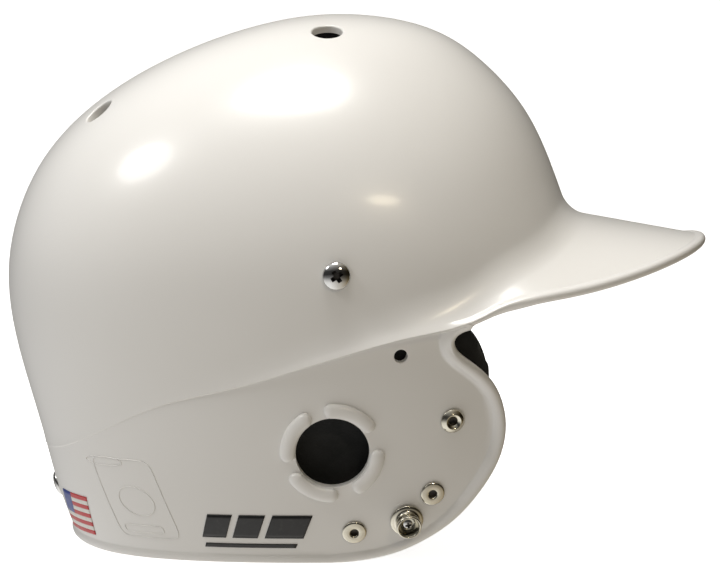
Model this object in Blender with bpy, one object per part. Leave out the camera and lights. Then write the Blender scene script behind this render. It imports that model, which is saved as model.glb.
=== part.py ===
"""Batting helmet with two ear flaps: moulded shell, foam pads, screws and inserts.

Frame: metres, +X towards the bill, +Y towards the wearer's left ear, +Z up.
The flat stretch of the rim rests on Z = 0 and the origin lies under the middle of the helmet.

The shell is drawn on one smooth "wall", a stack of egg-shaped level sections.  The dome
follows the wall, flares out into the bill in front and into a fading ledge above the ears;
below the ledge the ear flaps follow the wall down to a rolled rim.
"""
import math

import bmesh
import bpy
import numpy as np
from mathutils import Matrix, Vector

MM = 0.001

# ---------------------------------------------------------------- driving dimensions
CROWN = 221.3 * MM
SHELL_WALL = 3.2 * MM
FIT_GAP = 0.4 * MM

# Level sections of the wall: height, reach to the rear, reach to the front, half width.
SECTIONS = (
    (221.3, -6.6, -6.6, 0.0),
    (215.5, -45.0, 30.8, 38.0),
    (200.0, -84.5, 55.4, 63.0),
    (180.0, -114.8, 72.6, 80.0),
    (159.0, -133.3, 82.8, 91.0),
    (139.0, -142.8, 90.2, 96.5),
    (118.0, -147.4, 98.0, 98.0),
    (97.0, -146.9, 105.0, 95.5),
    (66.0, -139.9, 112.0, 89.0),
    (45.0, -134.0, 113.0, 84.6),
    (23.0, -128.2, 112.0, 79.0),
    (0.0, -120.0, 108.0, 71.0),
)
SQUARENESS = 0.10
WIDEST_X = -22.0 * MM
CROWN_X = -6.6 * MM

# The notch in front of the ear flap, as an angle round the level sections.
NOTCH_ANGLE = math.radians(62.0)
NOTCH_BLEND = math.radians(46.0)

# Free edge of the bill: half of an ellipse in plan, its height by degrees round the ellipse.
BILL_TIP_X = 147.4 * MM
BILL_ROOT_X = 34.5 * MM
BILL_HALF = 92.0 * MM
BILL_EDGE_HEIGHT = (
    (0.0, 127.8),
    (20.0, 125.4),
    (40.0, 119.4),
    (60.0, 112.2),
    (75.0, 108.0),
    (84.0, 105.2),
    (90.0, 102.4),
)
BILL_WALL = 3.2 * MM
BILL_BEAD = 1.0 * MM
BILL_BEAD_WIDTH = 2.6 * MM

# Height of the ledge above the ear flap, and how far it stands out, by angle in degrees.
LEDGE = (
    (46.0, 107.0, 13.0),
    (54.0, 103.8, 9.4),
    (62.0, 99.4, 6.8),
    (68.0, 96.6, 5.4),
    (73.0, 94.2, 4.4),
    (81.0, 88.9, 3.2),
    (90.0, 81.8, 2.0),
    (100.0, 74.2, 1.0),
    (114.0, 66.0, 0.35),
    (126.0, 56.5, 0.2),
    (146.0, 44.5, 0.15),
    (180.0, 41.5, 0.15),
)
# Fall of the flare from its root on the dome to its edge, by angle in degrees.
FLARE_FALL = (
    (0.0, 10.0),
    (20.0, 12.0),
    (45.0, 11.0),
    (66.0, 9.0),
    (90.0, 6.0),
    (120.0, 3.0),
    (180.0, 2.0),
)
FLARE_ROOT_BEND = 8.0 * MM
FLARE_EDGE_BEND = 8.0 * MM

# Side outline of the ear flap, from under the bill round the notch to the flat stretch of the rim.
FLAP_OUTLINE = (
    (45.4, 96.6),
    (41.2, 95.2),
    (38.9, 92.4),
    (39.6, 88.8),
    (43.2, 85.0),
    (48.8, 80.6),
    (54.6, 74.4),
    (58.6, 66.0),
    (60.2, 56.0),
    (58.4, 44.5),
    (50.4, 29.5),
    (38.4, 15.7),
    (22.4, 5.8),
    (6.0, 1.6),
    (-10.0, 0.0),
)
# Share of the flap's columns that end on that outline; the rest end on the rim behind it.
OUTLINE_SHARE = 0.62
REAR_RIM_RISE = 1.8 * MM
REAR_RISE_START = math.radians(115.0)
RIM_FLAT = 1.5 * MM

# Rolled lip of the flap's front edge and of the rim: how far it stands out and how wide it is.
FLAP_LIP = 2.6 * MM
FLAP_LIP_WIDTH = 3.6 * MM
RIM_LIP = 1.0 * MM
RIM_LIP_WIDTH = 2.6 * MM
LIP_CHANGE_HEIGHT = 40.0 * MM
CORNER_RUN = 7.0 * MM
NOSE = 2.4 * MM
SHORT_COLUMN = 14.0 * MM

# Holes through the shell, by side-view place or by angle and height on the wall.
EAR_PLACE = (-8.9 * MM, 46.8 * MM)
EAR_HOLE = 29.2 * MM
EAR_RIDGE_RADIUS = 17.8 * MM
EAR_RIDGE_HALF_WIDTH = 3.1 * MM
EAR_RIDGE_SPANS = ((28, 104), (117, 194), (206, 280), (296, 366))
VENTS = ((math.radians(89.7), 213.2 * MM), (math.radians(153.6), 180.8 * MM))
VENT_HOLE = 12.4 * MM
SPARE_HOLE_PLACE = (17.9 * MM, 86.0 * MM)
SPARE_HOLE = 5.4 * MM

# Hardware.
SIDE_SCREW_PLACE = (-7.2 * MM, 118.2 * MM)
REAR_SCREW_HEIGHT = 20.0 * MM
SCREW_HEAD = 11.0 * MM
SCREW_HEAD_HEIGHT = 3.0 * MM
SCREW_SHANK = 4.6 * MM
SCREW_HOLE = 5.8 * MM
NUT_GAP = 0.9 * MM
INSERTS = (
    ("upper", 38.5 * MM, 59.2 * MM),
    ("middle", 30.8 * MM, 29.2 * MM),
    ("lower", -0.4 * MM, 13.4 * MM),
)
INSERT_FLANGE = 9.8 * MM
INSERT_BORE = 3.2 * MM
INSERT_BARREL = 5.4 * MM
SNAP_PLACE = (20.5 * MM, 18.2 * MM)
SNAP_FLANGE = 13.4 * MM
SNAP_STUD = 10.2 * MM
SNAP_HEIGHT = 6.4 * MM

# Pads: foam thickness and how deep under the wall they sit.
PAD_DEPTH = SHELL_WALL + 1.4 * MM
PAD_THICKNESS = 13 * MM


# ---------------------------------------------------------------- small mathematics
def spline(knots, values, at):
    """Natural cubic spline through a few hand-placed values."""
    knots = np.asarray(knots, float)
    values = np.asarray(values, float)
    at = np.asarray(at, float)
    step = np.diff(knots)
    count = len(knots)
    matrix = np.eye(count)
    rhs = np.zeros(count)
    for i in range(1, count - 1):
        matrix[i, i - 1 : i + 2] = step[i - 1], 2 * (step[i - 1] + step[i]), step[i]
        rhs[i] = 6 * ((values[i + 1] - values[i]) / step[i] - (values[i] - values[i - 1]) / step[i - 1])
    bend = np.linalg.solve(matrix, rhs)
    i = np.clip(np.searchsorted(knots, at, side="right") - 1, 0, count - 2)
    low = (knots[i + 1] - at) / step[i]
    high = 1 - low
    cubic = ((low**3 - low) * bend[i] + (high**3 - high) * bend[i + 1]) * step[i] ** 2 / 6
    return low * values[i] + high * values[i + 1] + cubic


def table(rows, column, at):
    """A column of a small table of knots, read with a spline."""
    return spline([row[0] for row in rows], [row[column] for row in rows], at)


def even_table(rows, column, at):
    """The same for a table that starts at 0 and is mirrored there."""
    mirrored = [(-row[0],) + tuple(row[1:]) for row in rows[:0:-1]]
    return table(mirrored + list(rows), column, at)


def smooth(x):
    x = np.clip(x, 0.0, 1.0)
    return x * x * (3 - 2 * x)


def unit(vectors):
    return vectors / np.maximum(np.linalg.norm(vectors, axis=-1, keepdims=True), 1e-12)


# ---------------------------------------------------------------- the wall
def wall(angle, height):
    """Point of the wall: angle 0 is the front, pi the rear, on the wearer's right side."""
    angle = np.asarray(angle, float)
    height = np.asarray(height, float)
    depth = np.sqrt(np.clip(1 - height / CROWN, 0, None))
    knots = [math.sqrt(max(0.0, 1 - row[0] * MM / CROWN)) for row in SECTIONS]
    rear, front, half = (spline(knots, [row[k] * MM for row in SECTIONS], depth) for k in (1, 2, 3))
    middle = CROWN_X + (WIDEST_X - CROWN_X) * smooth(depth / 0.5)
    square = SQUARENESS * depth**2 / (depth**2 + 0.09)
    mean = (front - rear) / 2
    lead = (front + rear) / 2 - middle
    cos, sin = np.cos(angle), np.sin(angle)
    x = middle + (mean + lead * cos) * cos * (1 + square * sin**2)
    y = -half * sin * (1 + square * cos**2)
    return np.stack([x, y, height + 0 * x], axis=-1)


def wall_normal(angle, height):
    """Outward unit normal of the wall."""
    turn, drop = 1e-4, 2e-5
    height = np.minimum(height, CROWN - 2 * drop)
    along = wall(angle + turn, height) - wall(angle - turn, height)
    down = wall(angle, height - drop) - wall(angle, height + drop)
    return unit(np.cross(along, down))


def wall_offset(angle, height, depth):
    """Point at a depth inside the wall."""
    return wall(angle, height) - wall_normal(angle, height) * np.asarray(depth)[..., None]


def angle_at(x, height):
    """Angle on the wall where it passes a given X at a given height."""
    x, height = np.broadcast_arrays(np.asarray(x, float), np.asarray(height, float))
    low, high = np.zeros(x.shape), np.full(x.shape, math.pi)
    for _ in range(48):
        mid = (low + high) / 2
        ahead = wall(mid, height)[..., 0] > x
        low, high = np.where(ahead, mid, low), np.where(ahead, high, mid)
    return (low + high) / 2


# ---------------------------------------------------------------- the shell's curves
def edge_curve(angle):
    """Edge of the flare: the bill's free edge in front, the ledge's edge behind the notch."""
    behind = np.maximum(angle, NOTCH_BLEND)
    turn = np.degrees(behind)
    ledge = wall_offset(behind, table(LEDGE, 1, turn) * MM, -table(LEDGE, 2, turn) * MM)
    sweep = np.clip(angle / NOTCH_ANGLE, 0, 1) * math.pi / 2
    bill_x = BILL_ROOT_X + (BILL_TIP_X - BILL_ROOT_X) * np.cos(sweep)
    bill_z = even_table(BILL_EDGE_HEIGHT, 1, np.degrees(sweep)) * MM
    bill = np.stack([bill_x, -BILL_HALF * np.sin(sweep), bill_z], axis=-1)
    blend = smooth((angle - NOTCH_BLEND) / (NOTCH_ANGLE - NOTCH_BLEND))[:, None]
    return bill * (1 - blend) + ledge * blend


def perimeter():
    """Ear flap's edge round the notch and down to the rim: X, height and length along it."""
    outline = np.array(FLAP_OUTLINE) * MM
    run = np.concatenate([[0], np.cumsum(np.linalg.norm(np.diff(outline, axis=0), axis=1))])
    fine = np.linspace(0, run[-1], 400)
    x, z = spline(run, outline[:, 0], fine), spline(run, outline[:, 1], fine)
    tangent = unit(np.stack([np.gradient(x), np.gradient(z)], axis=-1))
    x = x + tangent[:, 1] * NOSE
    z = z - tangent[:, 0] * NOSE
    z = z - RIM_FLAT * smooth(1 - z / (12 * MM))
    return x, z, fine


def spaced(length, near, middle, far):
    """Distances along each column: fixed steps near its start and its end, even ones between."""
    squeeze = np.minimum(1.0, length / SHORT_COLUMN)
    start = [step * MM * squeeze for step in near]
    end = [length - step * MM * squeeze for step in far]
    between = [start[-1] + (end[0] - start[-1]) * (k + 1) / (middle + 1) for k in range(middle)]
    return np.array(start + between + end)


def bead(distance, width):
    """Round-topped profile, 1 at the edge and 0 from a given width on."""
    return np.clip(1 - (distance / width) ** 2, 0, 1)


def surface_normal(grid):
    """Unit normals of the upper grid, with the two ends kept in the mid-plane."""
    across = np.gradient(grid, axis=1)
    across[:, 0, [0, 2]] = 0
    across[:, -1, [0, 2]] = 0
    normal = unit(np.cross(across, np.gradient(grid, axis=0)))
    normal[0] = (0, 0, 1)
    return normal


def dome_and_flare(angle, edge, pitch):
    """Outer and inner grid from the crown down the dome and out to the flare's edge."""
    dome_rows, bend_rows = pitch["dome"], pitch["bend"]
    turn = np.degrees(angle)
    root_height = edge[:, 2] + even_table(FLARE_FALL, 1, turn) * MM
    root = wall(angle, root_height)
    reach = np.linalg.norm(edge - root, axis=-1)
    start_height = root_height + np.minimum(FLARE_ROOT_BEND, 0.9 * reach + 1 * MM)
    outward = unit(edge - root)
    bend_end = root + outward * np.minimum(FLARE_EDGE_BEND, 0.7 * reach)[:, None]

    start_depth = np.sqrt(1 - start_height / CROWN)
    rows = [wall(angle, CROWN * (1 - (start_depth * j / dome_rows) ** 2)) for j in range(dome_rows + 1)]
    start = rows[-1]
    down = unit(wall(angle, start_height - 0.01 * MM) - start)
    pull = down * (np.linalg.norm(root - start, axis=-1) * 0.6)[:, None]
    push = outward * (np.linalg.norm(bend_end - root, axis=-1) * 0.6)[:, None]
    for t in np.linspace(0, 1, bend_rows + 1)[1:]:
        ends = (1 - t) ** 3 * start + t**3 * bend_end
        rows.append(ends + 3 * (1 - t) * t * ((1 - t) * (start + pull) + t * (bend_end - push)))
    length = np.linalg.norm(edge - bend_end, axis=-1)
    to_edge = length - spaced(length, (0.0,), pitch["flare"], pitch["bead"])
    rows += [edge - outward * gap[:, None] for gap in to_edge[1:]]
    outer = np.array(rows)

    normal = surface_normal(outer)
    flared = outer - normal * BILL_WALL
    heights = outer[..., 2]
    angles = np.broadcast_to(angle, heights.shape)
    plain = wall_offset(angles, heights, np.full(heights.shape, SHELL_WALL))
    follow = smooth((NOTCH_ANGLE - angle) / math.radians(14))[None, :, None]
    inner = plain * (1 - follow) + flared * follow
    inner[1 : dome_rows + 1] = plain[1 : dome_rows + 1]
    inner[0] = outer[0] - normal[0] * SHELL_WALL

    on_bill = smooth((NOTCH_ANGLE + math.radians(4) - angle) / math.radians(4))
    rise = BILL_BEAD * on_bill * bead(to_edge[1:], BILL_BEAD_WIDTH)
    outer[-len(rise) :] += normal[-len(rise) :] * rise[..., None]
    return outer, inner


def rear_rise(angle):
    """How far the rim lifts off the resting plane behind the flaps."""
    return REAR_RIM_RISE * smooth((angle - REAR_RISE_START) / (math.pi - REAR_RISE_START))


def nearest(points, curve):
    """Distance of each point of a grid from a curve given as points."""
    gaps = np.linalg.norm(points[:, :, None, :] - curve[None, None, :, :], axis=-1)
    return gaps.min(axis=2)


def flap(angle, ledge, pitch):
    """Outer and inner grid of the ear flap and the band behind it, from the rim up to the ledge."""
    side_columns = len(angle) - 1
    outline_x, outline_z, run = perimeter()
    outline_angle = angle_at(outline_x, outline_z)
    outline_angle[0], outline_z[0] = NOTCH_ANGLE, ledge[0, 2]
    share = np.linspace(0, 1, side_columns + 1)
    on_outline = np.clip(share / OUTLINE_SHARE, 0, 1)
    closer_at_notch = 0.6 * on_outline + 0.4 * on_outline**1.7
    on_outline = run[-1] * closer_at_notch
    behind = np.clip((share - OUTLINE_SHARE) / (1 - OUTLINE_SHARE), 0, 1)
    low_angle = np.interp(on_outline, run, outline_angle)
    low_angle = low_angle + behind * (math.pi - low_angle)
    low_height = np.interp(on_outline, run, outline_z)
    low_height = low_height + rear_rise(low_angle)

    length = np.linalg.norm(wall(low_angle, low_height) - wall(angle, ledge[:, 2]), axis=-1)
    distance = spaced(length, pitch["lip"], pitch["flap"], pitch["ledge"])
    along = distance / np.maximum(length, 1e-9)
    along[:, 0] = np.linspace(0, 1, len(along))
    a = low_angle + (angle - low_angle) * along
    z = low_height + (ledge[:, 2] - low_height) * along
    on_wall = wall(a, z)

    rim_angle = np.concatenate([outline_angle, np.linspace(outline_angle[-1], math.pi, 200)])
    rim_height = np.concatenate([outline_z, np.full(200, outline_z[-1])])
    rim_height = rim_height + rear_rise(rim_angle)
    from_rim = nearest(on_wall, wall(rim_angle, rim_height))
    from_ledge = nearest(on_wall, wall(angle, ledge[:, 2]))
    ledge_out = table(LEDGE, 2, np.degrees(angle)) * MM
    rising = smooth(low_height / LIP_CHANGE_HEIGHT)
    lip = RIM_LIP + (FLAP_LIP - RIM_LIP) * rising
    lip = lip + (ledge_out[0] - FLAP_LIP) * np.exp(-((on_outline / CORNER_RUN) ** 2))
    lip_rise = lip * bead(from_rim, RIM_LIP_WIDTH + (FLAP_LIP_WIDTH - RIM_LIP_WIDTH) * rising)
    ledge_rise = ledge_out * (1 - smooth(from_ledge / (0.4 * MM + 0.2 * ledge_out)))
    outer = wall_offset(a, z, -np.maximum(lip_rise, ledge_rise))
    return outer, wall_offset(a, z, np.full(a.shape, SHELL_WALL))


def nose_strip(outer_edge, inner_edge, rows):
    """Rounded nose along the whole free edge, from the bill's tip to the rear centre."""
    middle = (outer_edge + inner_edge) / 2
    half = (outer_edge - inner_edge) / 2
    along = unit(np.gradient(middle, axis=0))
    along[0], along[-1] = (0, -1, 0), (0, 1, 0)
    ahead = unit(np.cross(half, along))
    bulge = np.minimum(0.95 * np.linalg.norm(half, axis=-1, keepdims=True), NOSE)
    turns = np.linspace(0, math.pi, rows + 1)
    return np.array([middle + half * math.cos(t) + ahead * bulge * math.sin(t) for t in turns])


def build_surface(pitch):
    """Right half of the shell as five grids: dome and flap, outer and inner, and the edge's nose."""
    front = NOTCH_ANGLE * np.linspace(0, 1, pitch["front"] + 1)
    share = np.linspace(0, 1, pitch["side"] + 1)
    closer_in_front = 0.45 * share + 0.55 * share**1.6
    rear = NOTCH_ANGLE + (math.pi - NOTCH_ANGLE) * closer_in_front
    angle = np.concatenate([front, rear[1:]])
    notch = pitch["front"]
    edge = edge_curve(angle)
    upper, upper_in = dome_and_flare(angle, edge, pitch)
    lower, lower_in = flap(angle[notch:], edge[notch:], pitch)
    for below, above in ((lower, upper), (lower_in, upper_in)):
        below[-1] = above[-1, notch:]
        below[:, 0] = above[-1, notch]
    outer_edge = np.concatenate([upper[-1, : notch + 1], lower[0, 1:]])
    inner_edge = np.concatenate([upper_in[-1, : notch + 1], lower_in[0, 1:]])
    nose = nose_strip(outer_edge, inner_edge, pitch["nose"])
    for grid in (upper, upper_in, lower, lower_in, nose):
        grid[..., 2] = np.maximum(grid[..., 2], 0.0)
    return upper, upper_in, lower, lower_in, nose


# ---------------------------------------------------------------- Blender helpers
def clear_scene():
    for thing in list(bpy.data.objects):
        bpy.data.objects.remove(thing, do_unlink=True)


def material(name, colour, roughness, metallic=0.0):
    made = bpy.data.materials.get(name) or bpy.data.materials.new(name)
    made.use_nodes = True
    shader = made.node_tree.nodes["Principled BSDF"]
    shader.inputs["Base Color"].default_value = (*colour, 1.0)
    shader.inputs["Roughness"].default_value = roughness
    shader.inputs["Metallic"].default_value = metallic
    made.diffuse_color = (*colour, 1.0)
    return made


def link(name, mesh, finish=None, crease=40.0):
    """An object of the part, shaded smooth but for its sharp edges."""
    thing = bpy.data.objects.new(name, mesh)
    bpy.context.collection.objects.link(thing)
    mesh.shade_smooth()
    mesh.set_sharp_from_angle(angle=math.radians(crease))
    if finish:
        mesh.materials.append(finish)
    return thing


def hide_cutter(thing):
    thing.hide_render = True
    thing.display_type = "WIRE"
    return thing


def boolean(thing, other, operation="DIFFERENCE"):
    cut = thing.modifiers.new(operation.lower(), "BOOLEAN")
    cut.operation = operation
    cut.solver = "EXACT"
    cut.object = other


def grid_faces(bm, grid, flip=False):
    """Quads over a rows x columns grid of points; equal points are merged later."""
    made = [[bm.verts.new(point) for point in row] for row in grid]
    for lower, upper in zip(made, made[1:]):
        for i in range(len(lower) - 1):
            corners = [lower[i], lower[i + 1], upper[i + 1], upper[i]]
            bm.faces.new(corners[::-1] if flip else corners)


def finish_mesh(bm, name, merge=2e-6):
    bmesh.ops.remove_doubles(bm, verts=bm.verts, dist=merge)
    bmesh.ops.dissolve_degenerate(bm, edges=bm.edges, dist=1e-7)
    bmesh.ops.recalc_face_normals(bm, faces=bm.faces)
    mesh = bpy.data.meshes.new(name)
    bm.to_mesh(mesh)
    bm.free()
    return mesh


def turned_mesh(name, profile, segments):
    """Solid of revolution about Z from (radius, height) points, run from top to bottom."""
    bm = bmesh.new()
    rings = []
    for radius, height in profile:
        if radius < 1e-9:
            rings.append([bm.verts.new((0, 0, height))])
            continue
        turns = (2 * math.pi * k / segments for k in range(segments))
        rings.append([bm.verts.new((radius * math.cos(a), radius * math.sin(a), height)) for a in turns])
    closed = len(rings[0]) > 1 and len(rings[-1]) > 1
    pairs = list(zip(rings, rings[1:])) + ([(rings[-1], rings[0])] if closed else [])
    for upper, lower in pairs:
        for k in range(segments):
            n = (k + 1) % segments
            above = (upper[k % len(upper)], upper[n % len(upper)])
            below = (lower[n % len(lower)], lower[k % len(lower)])
            corners = [above[0], below[1], below[0], above[1]]
            corners = list(dict.fromkeys(corners))
            if len(corners) > 2:
                bm.faces.new(corners)
    return finish_mesh(bm, name)


def aim(point, normal, roll=0.0):
    """Placement with +Z along a normal, its X kept level."""
    z = Vector(normal).normalized()
    x = Vector((0, 0, 1)).cross(z)
    x = x.normalized() if x.length > 1e-6 else Vector((1, 0, 0))
    y = z.cross(x)
    turn = Matrix((x, y, z)).transposed().to_4x4()
    return Matrix.Translation(Vector(point)) @ turn @ Matrix.Rotation(roll, 4, "Z")


def put(thing, place):
    thing.matrix_world = place
    return thing


# ---------------------------------------------------------------- places on the shell
def station(x, height, side, lift=0.0):
    """Point and outward normal of the wall at a side-view place; side is -1 right, +1 left."""
    angle = angle_at(x, height)
    point = wall_offset(angle, np.asarray(height), np.asarray(-lift))
    normal = wall_normal(angle, np.asarray(height))
    flip = np.array([1.0, -side, 1.0])
    return point * flip, normal * flip


# ---------------------------------------------------------------- the shell
# Columns and rows of the shell's grids, and the fixed steps in mm beside the edges.
PITCH = {
    "front": 12,
    "side": 26,
    "dome": 10,
    "bend": 3,
    "flare": 1,
    "bead": (2.6, 0.0),
    "lip": (0.0, 1.8, 3.6),
    "flap": 3,
    "ledge": (3.0, 1.0, 0.0),
    "nose": 5,
}


def ear_ridge(start, end, steps=6, sides=6):
    """One raised arc of the ear ring, a bent bar with round section and closed ends."""
    bm = bmesh.new()
    rings = []
    for k in range(steps + 1):
        turn = math.radians(start + (end - start) * k / steps)
        out = Vector((math.cos(turn), math.sin(turn), 0))
        ring = []
        for n in range(sides):
            a = 2 * math.pi * n / sides
            radius = EAR_RIDGE_RADIUS + EAR_RIDGE_HALF_WIDTH * math.cos(a)
            ring.append(bm.verts.new(out * radius + Vector((0, 0, 2.4 * MM * math.sin(a)))))
        rings.append(ring)
    for one, two in zip(rings, rings[1:]):
        for n in range(sides):
            bm.faces.new((one[n], one[(n + 1) % sides], two[(n + 1) % sides], two[n]))
    bm.faces.new(rings[0][::-1])
    bm.faces.new(rings[-1])
    return bm


def joined(name, pieces):
    """One mesh of several separate closed solids, for a cutter or a union."""
    bm = bmesh.new()
    for mesh, place in pieces:
        part = bmesh.new()
        part.from_mesh(mesh)
        part.transform(place)
        held = bpy.data.meshes.new(name)
        part.to_mesh(held)
        part.free()
        bm.from_mesh(held)
    return finish_mesh(bm, name)


def hole(diameter, reach, segments=16):
    radius = diameter / 2
    profile = ((0, reach), (radius, reach), (radius, -reach), (0, -reach))
    return turned_mesh("hole", profile, segments)


def shell_holes():
    """Every hole through the shell, as cutters placed along the wall's normals."""
    through = 9 * MM
    cuts = []
    for side in (-1, 1):
        cuts.append((hole(EAR_HOLE, through, 24), aim(*station(*EAR_PLACE, side))))
        for angle, height in VENTS:
            x = float(wall(angle, height)[0])
            cuts.append((hole(VENT_HOLE, through), aim(*station(x, height, side))))
        cuts.append((hole(SPARE_HOLE, through, 12), aim(*station(*SPARE_HOLE_PLACE, side))))
        cuts.append((hole(SCREW_HOLE, through, 12), aim(*station(*SIDE_SCREW_PLACE, side))))
        cuts.append((hole(SCREW_HOLE, through, 12), aim(*station(*SNAP_PLACE, side))))
        for _, x, height in INSERTS:
            cuts.append((hole(INSERT_BARREL + 0.8 * MM, through, 12), aim(*station(x, height, side))))
    cuts.append((hole(SCREW_HOLE, through, 12), rear_place()))
    return link("shell_hole_cutters", joined("shell_hole_cutters", cuts))


def rear_place():
    point = wall(math.pi, REAR_SCREW_HEIGHT)
    return aim(point, wall_normal(math.pi, REAR_SCREW_HEIGHT))


def shell():
    upper, upper_in, lower, lower_in, nose = build_surface(PITCH)
    bm = bmesh.new()
    grid_faces(bm, upper)
    grid_faces(bm, upper_in, flip=True)
    grid_faces(bm, lower[::-1])
    grid_faces(bm, lower_in[::-1], flip=True)
    grid_faces(bm, nose)
    mesh = finish_mesh(bm, "shell")
    thing = link("shell", mesh, material("white shell", (0.86, 0.85, 0.82), 0.15))
    mirror = thing.modifiers.new("left half", "MIRROR")
    mirror.use_axis = (False, True, False)
    mirror.merge_threshold = 1e-5
    ridges = []
    for side in (-1, 1):
        place = aim(*station(*EAR_PLACE, side, lift=-0.7 * MM))
        for start, end in EAR_RIDGE_SPANS:
            bm = ear_ridge(start, end)
            ridges.append((finish_mesh(bm, "ridge"), place))
    boolean(thing, hide_cutter(link("ear_ridges", joined("ear_ridges", ridges))), "UNION")
    boolean(thing, hide_cutter(shell_holes()))


# ---------------------------------------------------------------- pads
def pad_solid(name, place, depth, thickness, rings=4, segments=24, opening=False):
    """Foam pad between two depths under the wall.

    place(share, turn) gives angle and height on the wall for a share 0..1 from the middle,
    or from an opening, out to the outline, at a turn round it.
    """
    turns = np.linspace(0, 2 * math.pi, segments, endpoint=False)
    shares = np.linspace(0, 1, rings + 1)
    layers = []
    for face in (0, 1):
        grid = []
        for share in shares:
            angle, height = place(share, turns)
            rim = min(1 - share, share if opening else 1.0) * rings
            full = 0.55 + 0.45 * math.sin(min(rim, 1.0) * math.pi / 2)
            ring = wall_offset(angle, height, np.full(segments, depth + face * thickness * full))
            if share == 0 and not opening:
                ring[:] = ring.mean(axis=0)
            grid.append(ring)
        layers.append(np.array(grid))
    outer, inner = layers
    bm = bmesh.new()

    def strip(one, two):
        for k in range(segments):
            n = (k + 1) % segments
            bm.faces.new([bm.verts.new(p) for p in (one[k], one[n], two[n], two[k])])

    for one, two in zip(outer, outer[1:]):
        strip(one, two)
    for one, two in zip(inner, inner[1:]):
        strip(two, one)
    strip(outer[-1], inner[-1])
    if opening:
        strip(inner[0], outer[0])
    foam = material("black foam", (0.012, 0.013, 0.013), 0.85)
    return link(name, finish_mesh(bm, name), foam, crease=50)


def oval(angle, height, half_angle, half_height, power=3.0):
    """Rounded patch of the wall, centred on an angle and a height."""

    def place(share, turn):
        cos, sin = np.cos(turn), np.sin(turn)
        reach = (np.abs(cos) ** power + np.abs(sin) ** power) ** (-1 / power)
        return angle + half_angle * share * reach * cos, height + half_height * share * reach * sin

    return place


def crown_patch(share, turn):
    """Long oval over the crown, in (angle, root of depth) round the highest point."""
    front, rear, side, power = 0.22, 0.27, 0.13, 3.2
    length = np.where(np.cos(turn) > 0, front, rear)
    along, across = np.abs(np.cos(turn) / length), np.abs(np.sin(turn) / side)
    reach = (along**power + across**power) ** (-1 / power)
    return turn, CROWN * (1 - (share * reach) ** 2)


EAR_PAD_OUTLINE = (
    (47.0, 98.0),
    (56.0, 85.5),
    (58.5, 72.0),
    (58.0, 56.0),
    (52.0, 39.0),
    (36.0, 28.0),
    (10.0, 26.0),
    (-12.0, 18.5),
    (-44.0, 18.5),
    (-62.0, 27.0),
    (-68.0, 48.0),
    (-64.0, 72.0),
    (-48.0, 88.0),
    (-14.0, 96.0),
    (18.0, 100.0),
)
EAR_PAD_OPENING = 20.0 * MM


def ear_pad_patch(side):
    """Ring of foam from the ear opening out to the pad's outline, in side-view places."""
    centre = np.array(EAR_PLACE)
    points = np.array(EAR_PAD_OUTLINE) * MM
    loop = np.concatenate([points, points, points, points[:1]])
    knots = np.arange(len(loop))
    fine = np.linspace(len(points), 2 * len(points), 300)
    x, z = spline(knots, loop[:, 0], fine) - centre[0], spline(knots, loop[:, 1], fine) - centre[1]
    bearing = np.unwrap(np.arctan2(z, x))
    distance = np.hypot(x, z)
    order = np.argsort(np.mod(bearing, 2 * math.pi))
    bearing, distance = np.mod(bearing, 2 * math.pi)[order], distance[order]

    def place(share, turn):
        limit = np.interp(turn, bearing, distance, period=2 * math.pi)
        reach = EAR_PAD_OPENING + (limit - EAR_PAD_OPENING) * share
        x, height = centre[0] + reach * np.cos(turn), centre[1] + reach * np.sin(turn)
        angle = angle_at(x, height)
        return (angle if side < 0 else -angle), height

    return place


def pads():
    pad_solid("crown_pad", crown_patch, PAD_DEPTH, 11 * MM)
    brow = oval(0.0, 151 * MM, math.radians(40), 20 * MM)
    pad_solid("brow_pad", brow, PAD_DEPTH, 12 * MM, segments=32)
    pad_solid("rear_pad", oval(math.pi, 68 * MM, math.radians(30), 31 * MM), PAD_DEPTH, PAD_THICKNESS)
    for side, word in ((-1, "right"), (1, "left")):
        turn = -side * math.radians(92)
        temple = oval(turn, 152 * MM, math.radians(26), 20 * MM)
        pad_solid("temple_pad_" + word, temple, PAD_DEPTH, 12 * MM)
        patch = ear_pad_patch(side)
        pad_solid("ear_pad_" + word, patch, PAD_DEPTH, 15 * MM, rings=4, segments=36, opening=True)


# ---------------------------------------------------------------- hardware
def cross_recess(name, width, length, depth, top):
    """Cutter for a cross recess: a plus-shaped plug whose arms shorten with depth."""
    bm = bmesh.new()
    half = width / 2
    rings = []
    for height, reach in ((top + MM, length / 2), (top - depth, length / 2 * 0.4)):
        ring = []
        for quarter in range(4):
            turn = Matrix.Rotation(quarter * math.pi / 2, 3, "Z")
            for x, y in ((reach, -half), (reach, half), (half, half)):
                ring.append(bm.verts.new(turn @ Vector((x, y, height))))
        rings.append(ring)
    count = len(rings[0])
    for n in range(count):
        m = (n + 1) % count
        bm.faces.new((rings[1][n], rings[1][m], rings[0][m], rings[0][n]))
    bm.faces.new(rings[0])
    bm.faces.new(rings[1][::-1])
    return hide_cutter(link(name, finish_mesh(bm, name)))


def screw(name, place, head, head_height, shank, length, segments=24):
    """Domed screw with a cross recess; the head's underside is at the placement's origin."""
    radius = head / 2
    arc = (0.0, 0.35, 0.65, 0.88, 1.0)
    profile = [(radius * t, head_height * (0.25 + 0.75 * math.sqrt(max(0.0, 1 - t * t)))) for t in arc]
    profile += [(radius * 0.97, 0.0), (shank / 2, 0.0), (shank / 2, -length), (0.0, -length)]
    chrome = material("chromed steel", (0.72, 0.72, 0.72), 0.12, 1.0)
    thing = put(link(name, turned_mesh(name, profile, segments), chrome), place)
    cutter = cross_recess(name + "_recess", 1.3 * MM, 0.62 * head, 1.3 * MM, head_height * 0.98)
    cutter.parent = thing
    boolean(thing, cutter)


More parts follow.
